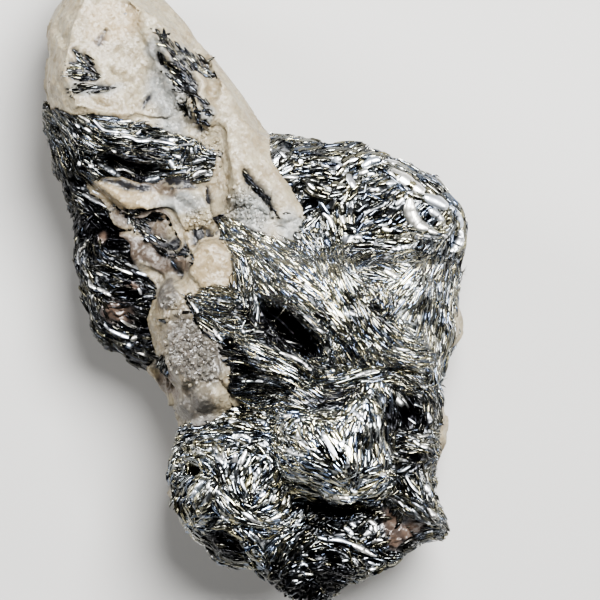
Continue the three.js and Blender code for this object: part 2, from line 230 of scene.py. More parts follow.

# %% [markdown]
# ### The shell
# Below the fan the flakes bend round in arcs like the growth lines of a shell. They are wide, and
# this mass is made the brightest. Its ridges are broader than the fan's, and the hollows between them
# are painted at least half as bright, as a light shade.

# %% The shell
masses["centre_shell"] = dict(fold=0.8, brightness_scale=1.15, groove_light=0.5, relief=0.8, strokes=[
    (24.5, 18.3, 0, 1), (24.6, 17.3, 60, 1), (25.2, 16.6, 20, 0.9), (25.5, 17.8, 30, 1),
    (26.5, 17.6, 80, 1), (26.3, 16.7, -80, 1), (27.3, 16.8, -78, 1), (28, 16.6, -62, 1),
    (28.6, 15.6, -58, 1), (29.3, 14.6, -55, 0.9), (29, 17.2, -62, 0.9), (29.8, 16, -62, 0.9),
    (27.6, 15.3, -55, 1), (27, 15, -22, 1), (26.2, 15.4, -22, 1), (25.5, 15.2, -35, 0.9),
    (24.6, 15.9, -50, 0.9), (26, 14.3, -15, 0.9), (27.5, 14, -15, 0.9), (28.8, 13.3, -35, 0.8),
    (29.8, 13, -60, 0.7), (30.4, 17, 75, 0.8), (31, 16, 80, 0.8), (31.8, 18.8, 75, 1),
    (32.4, 19.8, 78, 1), (33.4, 20.6, 85, 0.9), (33.6, 19, 90, 0.9), (33, 17.5, 85, 0.7),
    (31.2, 14, 90, 0.8), (32.2, 14.5, 80, 0.7), (33, 14, 85, 0.9), (33.6, 16, -80, 0.6),
    (32, 13.3, 85, 0.8), (31.2, 12.4, 90, 0.8), (33.2, 12.7, 10, 0.9), (33.7, 13.6, 70, 0.8),
    (31.6, 19.8, 70, 0.8), (30.3, 18.9, 10, 0.05), (28.6, 19, 0, 0.05), (34.7, 17, 90, 0.1),
    (34.7, 15, 90, 0.2), (34.6, 19, 90, 0.1), (25.5, 11.7, -15, 0.9), (27, 11.2, -15, 0.9),
    (28.5, 10.8, -15, 1), (30, 10.6, -8, 1), (31.5, 10.6, 0, 0.9), (32.7, 11, 35, 0.9),
    (33.4, 11.6, 45, 0.9), (29.8, 11.8, -50, 0.7), (31, 11.5, 85, 0.8), (25.3, 13, -15, 1),
    (26.4, 12.5, -20, 1), (25.2, 13.8, -10, 0.2), (24, 14.4, -60, 0.5), (26, 12, -15, 0.05),
    (27.6, 12.2, -20, 0.1), (33.4, 12.1, 0, 0.05),
], ledges=[
    (1.5, 1, [
        (24.8, 11.5), (26, 11.2), (27.5, 10.8), (29, 10.3), (30.5, 10.1), (32, 10.1), (33.4, 10.8),
    ]),
    (1, 0.7, [(24.8, 13), (25.8, 12.6), (26.8, 12.1), (27.6, 11.9)]),
    (0.8, 0.6, [(27.6, 13), (28.8, 12.5), (29.8, 11.9)]),
    (0.7, 0.6, [(24, 15.2), (25.2, 14.5), (26.4, 14), (27.6, 13.5)]),
    (1, 0.45, [(32.1, 12.3), (33.2, 12.5), (34.9, 12.3)]),
    (1.8, 1.5, [(31.2, 19.8), (30.4, 18.6), (29, 18.2), (27.4, 18.6), (26, 18.9), (24.4, 18.8)]),
    (1.6, 1.1, [(34.8, 12.9), (34.4, 14.5), (34.1, 16.5), (34.2, 18.5), (34, 20.4)]),
    (0.6, 0.4, [(24.6, 17), (25.1, 16.2), (25.8, 15.8)]),
], hollows=[
    (32.2, 15.6, 0.4, 1, 10, 0.4), (31.9, 12.2, 0.3, 0.7, 0, 0.6), (30.8, 12.8, 0.25, 0.8, 0, 0.4),
], mounds=[
    (28.2, 14.2, 4, 2.6, -12, 1.5),
], rims=[
    (0.7, [(24.9, 11.7), (26.2, 11.3), (27.5, 11), (29, 10.6), (30.4, 10.4), (31.8, 10.4)]),
    (0.55, [(31.8, 10.4), (32.8, 10.8), (33.6, 11.4)]), (0.7, [(24.8, 13.2), (25.8, 12.9), (26.9, 12.4)]),
    (0.5, [(23.3, 18.4), (24.4, 18.4), (25.2, 18.6)]), (0.5, [(25.4, 17.9), (26.2, 18.1), (27, 18.4)]),
    (0.6, [(24, 17.4), (24.6, 16.9), (25.2, 16.3)]),
    (0.6, [(26, 17.4), (25.9, 16.4), (26.6, 15.6), (27.6, 15.2)]),
    (0.45, [(32.2, 12.6), (33.2, 12.8), (34.6, 12.6)]), (0.5, [(31.3, 19), (31.9, 18.4), (32.4, 18)]),
    (0.5, [(33.6, 18.6), (33.8, 17.8), (33.6, 17)]), (0.45, [(32.6, 20.4), (32.4, 19.4), (32.6, 18.8)]),
    (0.5, [(33.7, 20.8), (33.9, 19.8)]), (0.6, [(24, 15.6), (25.2, 15), (26.6, 14.6)]),
    (0.4, [(30.9, 11.4), (31.4, 11), (31.9, 11.4)]), (0.5, [(28.2, 17.2), (28.8, 15.8), (29.6, 14.6)]),
], flake=dict(length=2.1, width=0.56, crowd=5, packets=10, own=11),
    needles=dict(length=2.2, width=0.24, crowd=3, packets=10, own=11))

# %% [markdown]
# ### The rosette
# At the lower left thick wavy plates turn round several centres. They could be modelled one by one,
# but many small plates that bend with the grain give the same wavy edges. So the plate family of
# flakes is used here, and rims draw the edges of the largest.

# %% The rosette
masses["lower_rosette"] = dict(fold=0.8, brightness_scale=0.86, groove_light=0.35, relief=0.9, strokes=[
    (14.4, 16.4, 20, 0.9), (16.5, 16.6, 15, 0.9), (17.6, 16.5, 25, 0.8), (18.7, 16.8, -10, 0.9),
    (20, 16.6, 10, 0.9), (21.5, 16.6, 5, 0.9), (22.6, 16.8, -20, 0.8), (18.7, 18, -12, 1),
    (20, 17.8, -12, 1), (21.5, 18.2, -15, 0.7), (20.5, 19, 5, 0.6), (22.5, 17.6, 0, 0.6),
    (17.5, 17.4, 0, 0.1), (20, 17.2, -5, 0.1), (15.5, 15.9, 10, 0.3), (15.4, 15.4, 15, 0.9),
    (14.6, 15, -10, 0.8), (16.4, 14.8, -15, 0.9), (17, 15.5, 0, 0.8), (14.2, 14.3, 60, 0.8),
    (14.9, 13.7, 25, 0.8), (15.4, 14.3, 10, 0.7), (16.4, 13.8, -30, 0.8), (13.7, 13.6, 60, 0.7),
    (15.8, 12.8, 0, 0.03), (14, 12.4, 55, 0.7), (14.2, 11.5, 60, 0.5), (14.4, 10.2, 55, 0.4),
    (15.6, 10.8, 55, 1), (16.4, 11.1, 50, 0.9), (16.8, 11.9, 30, 0.8), (16, 9.8, 50, 0.8),
    (14.7, 8.9, -70, 0.8), (16.6, 8.4, 40, 0.8), (15.5, 7.6, 20, 0.9), (16.5, 7.5, 5, 0.8),
    (18, 15.2, -80, 1), (18.6, 14.4, -85, 1), (17.7, 14.2, -72, 0.8), (19.6, 15.6, 20, 1),
    (18.2, 12.8, -65, 0.6), (18.4, 11.6, -60, 0.5), (17.5, 12.2, -60, 0.4), (19.3, 13.4, 80, 0.6),
    (20.2, 14.3, 75, 1), (20.7, 15, 85, 1), (21, 13.6, 60, 0.9), (20.4, 12.3, 80, 0.8),
    (20.2, 11.4, -70, 0.8), (21, 11.2, -65, 0.8), (21.4, 12.2, 65, 0.9), (22, 13, 50, 0.9),
    (22, 14, 40, 0.9), (22.8, 14.6, -60, 0.8), (22.2, 15.5, 35, 0.8), (21.5, 15.9, 10, 0.6),
    (23, 13.2, 70, 0.8), (24, 13, 85, 0.6), (23, 12, 40, 0.8), (22.4, 11.4, 35, 0.5),
    (22.6, 10.5, 55, 0.9), (23.4, 10.2, 60, 0.8), (24.4, 10, 65, 0.7), (22.3, 9.7, 30, 0.8),
    (18.4, 9, -60, 0.9), (17.7, 10, -70, 0.7), (18.8, 10.2, -60, 0.8), (19.8, 9.2, -50, 0.8),
    (20.8, 8.6, -40, 0.9), (21.8, 8, -30, 1), (23, 7.6, -20, 0.9), (21, 9.4, -20, 0.8),
    (23, 8.8, 25, 0.9), (24.2, 8.4, 20, 0.8), (17.5, 7, 0, 0.05), (19, 6, 0, 0.04),
    (20, 5, 0, 0.03), (22.5, 6.5, -30, 0.1), (15.4, 6.3, -60, 0.8), (15.9, 5.6, -35, 0.9),
    (17, 4.3, -50, 0.9), (18.2, 3.6, -15, 0.8), (20.9, 5.6, -60, 1), (22, 4.2, -65, 0.8),
], ledges=[
    (0.9, 0.6, [(17.6, 17.7), (19.2, 17.5), (21, 17.4), (22.8, 17.3)]),
    (0.8, 0.6, [(16.6, 16.3), (17.8, 16.2), (19.2, 16), (20.4, 15.4)]),
    (0.8, 0.6, [(13.9, 13.6), (14.8, 13.4), (15.8, 13.4), (16.8, 13.1)]),
    (0.8, 0.5, [(14.6, 15.2), (15.8, 15.3), (17, 15)]),
    (0.8, 0.5, [(19, 12.6), (19.3, 13.6), (19.9, 14.8), (21, 15.6)]),
    (0.7, 0.45, [(20.6, 11.8), (20.9, 13), (21.6, 14), (22.6, 14.4)]),
    (0.7, 0.45, [(21.6, 10.8), (22, 11.6), (22.9, 12.3)]),
    (0.8, 0.5, [(17, 13.8), (17.8, 12.6), (18.4, 11.2), (19.4, 10.2)]),
    (0.7, 0.5, [(15.1, 9.9), (15.9, 10.6), (16.6, 11.6)]),
    (1.3, 0.9, [(15.4, 7.3), (17, 7.4), (18.8, 7.6), (20.2, 7.7), (21.6, 7.4), (23.2, 7)]),
    (0.8, 0.6, [(17.8, 9.4), (18.8, 8.4), (20.2, 8)]),
    (1, 0.5, [(22.7, 3.3), (21.6, 4.6), (20.9, 5.6), (20.3, 6.6)]),
], hollows=[
    (15.8, 12.8, 1.1, 0.5, 5, 1.4), (18.6, 5.8, 2.4, 1.3, -25, 1.6), (22.5, 6.5, 0.9, 0.5, -30, 1),
    (20.4, 15.9, 0.8, 0.3, 30, 0.6), (19, 13.2, 0.25, 0.9, -20, 0.6), (18.2, 12.4, 0.3, 1.2, 30, 0.6),
    (20.8, 11.9, 0.25, 1, 10, 0.6), (22.3, 12.5, 0.25, 0.7, -40, 0.5), (23.5, 11.4, 0.9, 0.3, 20, 0.8),
    (19.6, 10.4, 0.8, 0.3, -30, 0.7), (17.3, 8.2, 0.9, 0.3, 30, 0.6),
], rims=[
    (0.55, [(18.4, 18.2), (19.4, 17.8), (20.6, 17.6)]), (0.4, [(21.4, 18.2), (22.2, 17.9), (22.8, 17.5)]),
    (0.5, [(13.8, 16.2), (14.3, 16.7), (15, 16.8)]), (0.35, [(16, 16.8), (16.8, 16.8), (17.4, 16.9)]),
    (0.35, [(15, 15.2), (15.6, 15.5), (16.3, 15.3)]), (0.4, [(14.8, 14.5), (15.8, 14.9), (16.8, 14.5)]),
    (0.4, [(13.8, 13.2), (14.4, 13.8), (15, 14)]), (0.6, [(15.3, 10), (15.6, 10.9), (16.3, 11.9)]),
    (0.35, [(16.3, 10.6), (16.8, 11.2), (17, 12)]), (0.6, [(17.6, 15.4), (17.9, 14.4), (18.5, 13.6)]),
    (0.6, [(18.6, 15.6), (18.6, 14.6), (18.9, 13.8)]), (0.5, [(19.6, 14.8), (19.5, 13.8), (19.3, 13)]),
    (0.6, [(20.8, 15.2), (20.4, 14.4), (20.2, 13.6)]), (0.4, [(20.2, 12.8), (20.2, 12), (20.6, 11)]),
    (0.45, [(21.3, 14.4), (22, 14.2), (22.6, 13.8)]), (0.5, [(21, 13.4), (21.2, 12.6), (21.8, 12)]),
    (0.45, [(22, 10.4), (22.6, 10.9), (23.2, 11.2)]), (0.4, [(23.2, 9.8), (23.6, 10.6)]),
    (0.35, [(24.2, 9.6), (24.6, 10.3)]), (0.5, [(18, 9), (18.6, 8.6), (19.2, 8.1)]),
    (0.6, [(20.2, 9), (21.2, 8.4), (22.3, 7.8)]), (0.5, [(22.4, 8), (23.4, 8.3), (24.4, 8.7)]),
    (0.4, [(15.3, 6.7), (15.4, 6), (16.2, 5.5), (16.9, 5.6)]),
    (0.4, [(16.7, 4.8), (17.2, 4.2), (17.8, 3.9)]), (0.35, [(17.9, 3.7), (18.5, 3.4), (19, 3.1)]),
    (0.5, [(20.4, 6.2), (21, 5.3), (21.7, 4.6)]), (0.35, [(21.7, 4.4), (21.8, 3.7), (22.2, 3.3)]),
    (0.4, [(14.5, 9), (15, 8.6), (14.9, 8)]), (0.4, [(15.3, 7.4), (16, 7.5), (16.6, 7.7)]),
    (0.35, [(16.2, 8.4), (16.8, 8.5), (17.2, 8.9)]),
], flake=dict(family="plates", length=2.2, width=0.55, crowd=3.4, packets=14, own=14),
    needles=dict(length=2.0, width=0.24, crowd=3, packets=14, own=14))

# %% [markdown]
# ### The bottom mass and the wing
# These two masses are made darker than most, with brown places between the flakes. They have the
# same kinds of list as the others, but a lower brightness, and rims that are darker and vary more.

# %% The bottom mass and the wing
masses["bottom_mass"] = dict(fold=0.62, brightness_scale=0.26, rim_shine=(0.25, 0.9), strokes=[
    (24.4, 6.8, 38, 1), (25.6, 7.8, 40, 1), (23.8, 5.6, 70, 0.6), (24.6, 5.6, 70, 0.6),
    (22.8, 4, -70, 0.5), (23.5, 4.6, 60, 0.4), (24.5, 4.4, 60, 0.4), (24.3, 3, 55, 0.4),
    (25, 2.4, 70, 0.4), (25.4, 1.9, 0, 0.6), (25, 1, 40, 0.15), (26.4, 1, 60, 0.15),
    (26.4, 2.5, 25, 0.6), (27.5, 2.4, -15, 0.5), (28.3, 2, -60, 0.3), (26.3, 3.6, 0, 0.9),
    (26.9, 4.4, -20, 0.5), (27.3, 3.7, 60, 0.6), (26.4, 5.2, 55, 0.7), (27, 5.8, 45, 0.7),
    (26, 6.2, 50, 0.5), (27.5, 7, 50, 0.25), (27.2, 7.9, 50, 0.3), (28.4, 7.2, -50, 0.4),
    (29, 7.5, -30, 0.5), (28.5, 6.2, -10, 0.9), (30, 6.1, -10, 0.9), (31.4, 5.6, -20, 0.9),
    (32.6, 5.1, -30, 0.9), (33.4, 4.7, -35, 1), (29.5, 7, -30, 0.6), (30.7, 6.9, -40, 0.8),
    (31, 8.2, -60, 0.9), (31.6, 7.6, 45, 0.8), (32.5, 7.7, -20, 0.9), (33.2, 7, 90, 1),
    (32.8, 6.3, 45, 0.9), (33.4, 5.8, 30, 0.9), (33.7, 8, 60, 0.5), (28.2, 5.2, 30, 0.4),
    (29.5, 5, 0, 0.3), (30.3, 4.6, -40, 0.5), (31, 4.2, -40, 0.7), (31.6, 3.4, -40, 0.8),
    (32.3, 3.2, -10, 0.9), (33.3, 3.5, 20, 0.9), (34, 3.8, -20, 0.7), (34.2, 2.7, 35, 0.9),
    (29.4, 3.9, 0, 0.08), (29, 3, 40, 0.2), (30.6, 3.2, -20, 0.05), (29, 8.8, 0, 0.04),
    (31, 9.4, 0, 0.04), (35, 9.4, 60, 0.25), (35.8, 8, 70, 0.25), (35.2, 6.6, 40, 0.2),
    (36.6, 7, 30, 0.2), (37.6, 7.2, 20, 0.2), (26.4, 9, 75, 0.8), (27.2, 9, 15, 0.6),
], ledges=[
    (1, 0.7, [(23.3, 5.9), (24.4, 6.6), (25.4, 7.4), (26.9, 8.1)]),
    (1.1, 0.7, [(27.4, 6.3), (28.6, 5.8), (30, 5.7), (31.4, 5.1), (32.6, 4.6), (33.8, 4.1)]),
    (0.8, 0.6, [(30.2, 4.6), (31.2, 3.8), (32, 3), (33.2, 3), (34, 3.4)]),
    (0.8, 0.5, [(29.4, 6.6), (30.2, 6.3), (31, 6.4)]),
    (0.9, 0.6, [(34.2, 8.4), (33.2, 8.5), (32.4, 8.2), (31.2, 8.6), (30.7, 8), (29.4, 7.9)]),
    (0.7, 0.5, [(25.4, 3.1), (26.4, 3.1), (27.2, 3.4)]),
], hollows=[
    (29.4, 9.3, 3.8, 0.9, -5, 1.2), (29.4, 3.8, 1.1, 0.7, -20, 0.9), (28.2, 4.6, 0.9, 0.4, -10, 0.5),
    (31.9, 6.7, 0.3, 0.8, 0, 0.7), (23.6, 3.6, 0.8, 0.5, -40, 0.6), (30.6, 2, 1.8, 0.6, 10, 0.6),
], rims=[
    (0.7, [(23.4, 6.3), (24.4, 7), (25.2, 7.7), (26, 8.3), (27, 8.6)]),
    (0.45, [(27.6, 6.4), (28.6, 6.1), (30, 6), (31.2, 5.6)]),
    (0.6, [(31.2, 5.6), (32.4, 5), (33.7, 4.4)]), (0.35, [(29.4, 6.5), (30.6, 6.6)]),
    (0.5, [(30.8, 8.5), (31.1, 7.8), (31.6, 7.3)]), (0.5, [(30.4, 7.3), (31, 6.9), (31.2, 6.4)]),
    (0.6, [(32.6, 8.1), (33.4, 7.6), (33.6, 6.8)]), (0.7, [(32.4, 6.4), (33, 6.9), (33.2, 7.5)]),
    (0.5, [(32.9, 5.6), (33.6, 6), (34.3, 6)]),
    (0.4, [(31.4, 3.9), (31.9, 3.3), (32.7, 3), (33.6, 3.1)]),
    (0.4, [(32.8, 3.8), (33.4, 3.6), (34, 3.5)]), (0.35, [(33.9, 2.5), (34.4, 2.8)]),
    (0.4, [(26, 3.4), (26.4, 3.6), (26.8, 3.3)]), (0.35, [(25.2, 1.9), (25.8, 1.9)]),
    (0.3, [(25.8, 2.4), (26.6, 2.6), (27.4, 2.5)]), (0.4, [(26.2, 9.4), (26.5, 8.8), (27.6, 8.9)]),
    (0.35, [(26, 4.6), (26.8, 4.5)]), (0.35, [(30.2, 3.9), (30.9, 4), (31.2, 3.6)]),
], earth=[
    (35.4, 8.4, 1.4, 2, 0), (35.4, 5.8, 1.2, 1.4, 0), (37, 6.8, 1.6, 1, 0),
], flake=dict(family="plates", length=1.6, width=0.45, crowd=6, packets=16, own=26))
masses["right_wing"] = dict(fold=0.62, brightness_scale=0.42, rim_shine=(0.25, 0.9), strokes=[
    (35.5, 20.4, -50, 0.8), (36.4, 17.6, 90, 0.25), (37.6, 17.6, 90, 0.25), (38.8, 18.5, 85, 0.5),
    (37, 19.2, -50, 0.08), (35.4, 17.6, 90, 0.06), (38.2, 18, 90, 0.06), (36.3, 16.1, 0, 0.5),
    (37.5, 16.5, -25, 0.8), (38, 15.9, -25, 0.9), (38.2, 15.3, -15, 1), (37.2, 15.1, 10, 0.8),
    (35.6, 15, 20, 0.5), (36, 14.7, 15, 0.6), (35.5, 14.2, 5, 0.8), (35.6, 13.7, 0, 0.05),
    (38, 14.4, -10, 0.03), (37, 14.2, 0, 0.1), (36, 13, 15, 0.8), (37, 13.3, 30, 0.7),
    (38.4, 13.4, 40, 0.6), (36.5, 12, -55, 0.6), (37.5, 11.6, -60, 0.7), (38.4, 12, -70, 0.9),
    (38.6, 11, 90, 0.8), (37, 10.6, -50, 0.7), (35.5, 11.5, 60, 0.7), (34.5, 11.3, 50, 0.8),
    (36, 10.2, -30, 0.8), (37.4, 9.8, -35, 0.9), (38.4, 9.2, -45, 0.9), (39.4, 8, -50, 1),
    (37.8, 7.4, 0, 0.2), (38.8, 6.6, 20, 0.6),
], ledges=[
    (0.8, 0.7, [(35, 10.4), (36.2, 9.8), (37.4, 9), (38.6, 7.9), (39.9, 7.2)]),
    (1.3, 0.8, [(36, 15.3), (37.4, 15), (38.6, 15.1), (39.6, 14.6)]),
    (0.9, 0.5, [(34.6, 14.3), (35.6, 14), (36.6, 14)]),
    (1.4, 1.2, [(39, 16.9), (37.6, 16.7), (36, 16.7), (34.8, 16.9)]),
], hollows=[
    (36.9, 18.3, 2, 1.5, -10, 2), (37.9, 14.4, 1.6, 0.5, -5, 1), (35.6, 13.6, 0.9, 0.3, 0, 0.8),
], rims=[
    (0.7, [(34.7, 21.2), (35.4, 20.4), (36.3, 19.4)]), (0.35, [(37.2, 16.6), (38, 16.4), (38.9, 16.6)]),
    (0.4, [(37.3, 16), (38, 15.5), (38.9, 15.2)]), (0.35, [(36, 15), (37, 14.9), (37.8, 15.2)]),
    (0.4, [(34.7, 14), (35.6, 14.1), (36.6, 14)]), (0.35, [(35.4, 12.9), (36.2, 13), (37, 13.5)]),
    (0.45, [(34.8, 10.4), (35.8, 10), (36.4, 9.3)]), (0.5, [(37, 10), (38, 9.4), (38.9, 8.4)]),
    (0.45, [(37.2, 9.2), (38, 8.4), (39.2, 7.6)]), (0.6, [(38.6, 9.4), (39.4, 8.4), (40.1, 7.2)]),
    (0.4, [(38.4, 6.6), (39.2, 6.9), (40, 7)]), (0.6, [(38.5, 11.6), (38.8, 10.8)]),
    (0.3, [(36.6, 12.4), (37.2, 11.4), (37.8, 10.8)]), (0.3, [(38.8, 18.8), (38.8, 18)]),
    (0.2, [(36.2, 20.2), (36.9, 19.2)]), (0.2, [(37.4, 19.6), (38.4, 19.2)]),
    (0.16, [(36.8, 18.2), (37.6, 17.6)]), (0.2, [(38, 18.4), (38.8, 18.8)]),
    (0.18, [(35.8, 18.6), (36, 17.4)]), (0.16, [(37.2, 20.8), (38.2, 20.4)]),
], earth=[
    (37, 7.2, 2, 0.8, 0),
], flake=dict(length=1.7, width=0.30, crowd=9, packets=15, own=16))

# %% [markdown]
# ### The lobe
# The rounded lobe at the upper right is built of coarse plates that lie flat, so it looks like
# crumpled foil and not like hair. Its flakes are the widest and the least crowded, its ridges are
# low, and the painted shade between them is light, nearly as bright as the ridges.

# %% The lobe
masses["upper_lobe"] = dict(fold=0.62, brightness_scale=0.53, groove_light=0.8, relief=0.35, strokes=[
    (22.5, 44.7, 60, 0.8), (23.5, 44.5, 50, 0.9), (24.5, 44.6, 50, 0.9), (25.3, 45.3, 50, 0.8),
    (26.4, 45.2, 45, 0.8), (24, 43.6, 40, 1), (25, 43.4, 30, 0.9), (26, 43.7, 20, 0.8),
    (27, 44.6, 40, 0.5), (28, 44.2, 40, 0.5), (27.3, 43.1, 20, 0.4), (26.5, 42.6, 10, 0.1),
    (28.8, 43, 0, 0.1), (24.8, 42.3, 5, 0.8), (25.3, 41.4, 50, 0.6), (26.3, 40.8, 55, 0.5),
    (27.1, 41.4, -40, 0.9), (28.5, 42, 20, 0.5), (28.8, 41.2, -20, 0.6), (26.8, 39.4, 50, 0.1),
    (27.5, 38.6, 50, 0.35), (28.3, 39.9, 50, 0.5), (29.1, 38.4, -60, 1), (29.3, 39.8, 60, 0.7),
    (30.2, 39.3, 85, 0.9), (30.7, 38.2, 90, 0.9), (29.9, 37, 80, 0.8), (30.6, 36.6, -20, 0.8),
    (29.6, 44, 20, 0.9), (30.5, 43.5, 30, 1), (31, 42.4, 45, 0.9), (31.8, 44.1, 45, 0.9),
    (32.8, 44.1, 40, 0.8), (34, 44, 15, 0.8), (33.2, 43.1, 35, 0.7), (32, 42.8, 45, 0.6),
    (33.6, 42.5, 40, 0.4), (31.5, 41.6, 50, 0.7), (32.6, 41.8, 35, 0.7), (34, 41.8, 42, 0.7),
    (35, 41, 40, 0.6), (32.8, 40.7, 40, 0.3), (33.7, 40, 42, 0.4), (31.2, 40.2, 60, 0.7),
    (31.7, 38.8, 70, 0.4), (33.5, 38.7, 38, 0.5), (34.5, 39.4, 42, 0.5), (33.5, 37.4, 30, 0.8),
    (34.6, 37, 28, 0.9), (35.6, 38, 40, 0.6), (36.4, 39.4, 50, 0.4), (36, 40.6, 42, 0.6),
    (37, 41, -30, 0.8), (35.6, 43, -35, 1), (36.6, 42.4, -38, 1), (37.8, 41.6, -38, 1),
    (39, 40.7, -40, 0.9), (40.2, 40.2, -45, 0.8), (41.3, 39.3, -50, 0.9), (42, 38, -70, 0.9),
    (42.3, 36.8, 85, 1), (42, 35.6, 55, 1), (37.5, 38.8, 45, 1), (38, 37.8, 30, 1),
    (39.2, 39.3, 45, 0.8), (40, 38.2, 50, 0.6), (41, 37.4, 60, 0.6), (40.4, 37, 30, 0.6),
    (39.3, 36.8, -10, 0.9), (40.8, 36, 55, 0.5), (41.3, 35.6, 60, 0.04), (35, 36.8, 5, 0.9),
    (36.5, 36.2, 40, 0.8), (35.3, 36.2, 0, 0.2), (37.3, 36.3, -70, 0.3), (38.4, 36, 60, 0.7),
    (38, 35.3, 60, 0.6), (32.2, 36, 10, 0.7), (31.4, 36.2, 30, 0.8), (33.2, 35.6, 20, 0.4),
    (31.8, 35.2, 0, 0.1),
], ledges=[
    (0.9, 0.5, [(24.2, 42.7), (25.2, 43), (26.4, 42.9)]),
    (0.9, 0.5, [(26.3, 43.2), (27.4, 43), (28.2, 43), (29.3, 42.5)]),
    (0.7, 0.5, [(26.3, 41.6), (26.8, 40.9), (27.8, 40.4)]),
    (0.7, 0.4, [(32.9, 42.7), (33.6, 42.6), (34.4, 42.9)]),
    (0.8, 0.5, [(28.2, 38.9), (29.2, 38.2), (29.5, 37), (29.4, 36.2)][::-1]),
    (0.6, 0.5, [(32.3, 40.9), (33.2, 40.6), (34, 40.2)]),
    (0.6, 0.5, [(34.6, 36.5), (35.6, 36.4), (36.3, 36)]),
    (1.2, 0.7, [(41.9, 37), (41.6, 36.2), (41, 35.4)]),
    (0.6, 0.5, [(37, 37.3), (38.2, 37.3), (39.6, 37)]),
    (0.7, 0.6, [(34.6, 43.2), (35.8, 42), (37, 40.8)]),
], hollows=[
    (26.9, 39.4, 0.7, 0.9, 20, 1), (41.4, 35.8, 0.35, 1.1, -25, 1.2), (33.6, 40, 1.4, 0.5, 20, 0.5),
    (31.6, 38.8, 0.35, 1.2, -10, 0.5), (34, 38.4, 1.6, 0.7, 10, 0.4), (31.7, 35.1, 0.8, 0.4, 0, 0.8),
], rims=[
    (1.3, [(34.8, 43.1), (36, 42.3), (37.2, 41.5), (38.4, 40.7)]),
    (0.8, [(34.2, 43.9), (35.4, 43.6), (36.8, 42.7)]), (1.3, [(38.4, 40.4), (39.6, 39.9), (40.8, 39.2)]),
    (1, [(40.9, 39.4), (41.7, 38.4), (42.1, 37.2)]),
    (0.9, [(42.1, 37), (42.1, 36.2), (41.7, 35.4), (41.1, 34.8)]),
    (1.4, [(37, 40.2), (37, 38.8), (37.8, 37.6), (38.8, 37.2)]),
    (1, [(38.9, 39.2), (39.8, 38.4), (40.4, 37.4)]), (0.9, [(29.2, 44.1), (29.8, 43.4), (30.7, 42.8)]),
    (0.8, [(30.8, 43.8), (31.8, 44.2)]), (0.9, [(32.2, 43.3), (33.1, 43.9), (34, 44.1)]),
    (0.8, [(30.2, 43), (30.9, 42.2), (31.4, 41.2)]), (0.7, [(31.9, 42.6), (32.8, 43)]),
    (0.7, [(34.6, 41.6), (35.8, 41.8)]), (0.6, [(35.6, 39.4), (36.3, 40.2)]),
    (0.6, [(28.3, 38.7), (29, 38.1), (29.3, 37.2)]), (0.6, [(30.2, 39.8), (30.1, 38.8), (30.4, 37.6)]),
    (0.5, [(26.7, 41.9), (27.1, 41.4), (27.6, 41)]), (0.4, [(24, 42.2), (24.8, 42.3), (25.8, 42.2)]),
    (0.35, [(23.2, 43.3), (24.2, 42.7), (25.2, 43.2)]), (0.35, [(24, 44.8), (24.6, 44.2)]),
    (0.6, [(34.2, 37.2), (35.2, 36.9)]), (0.5, [(35.8, 36), (36.6, 36.6)]),
    (0.5, [(38.8, 37), (39.8, 36.7)]), (0.5, [(31.4, 36.3), (32.2, 36.3)]),
    (0.35, [(22.4, 45.2), (23.2, 45)]), (0.45, [(27, 42.9), (27.6, 42.7)]),
    (0.5, [(28.6, 36.9), (28.9, 36.2)]), (0.5, [(40.2, 36.6), (41, 36)]),
], flake=dict(family="plates", length=2.2, width=0.72, crowd=2.6, packets=11, own=12),
    needles=dict(length=2.2, width=0.22, crowd=4, packets=11, own=12))
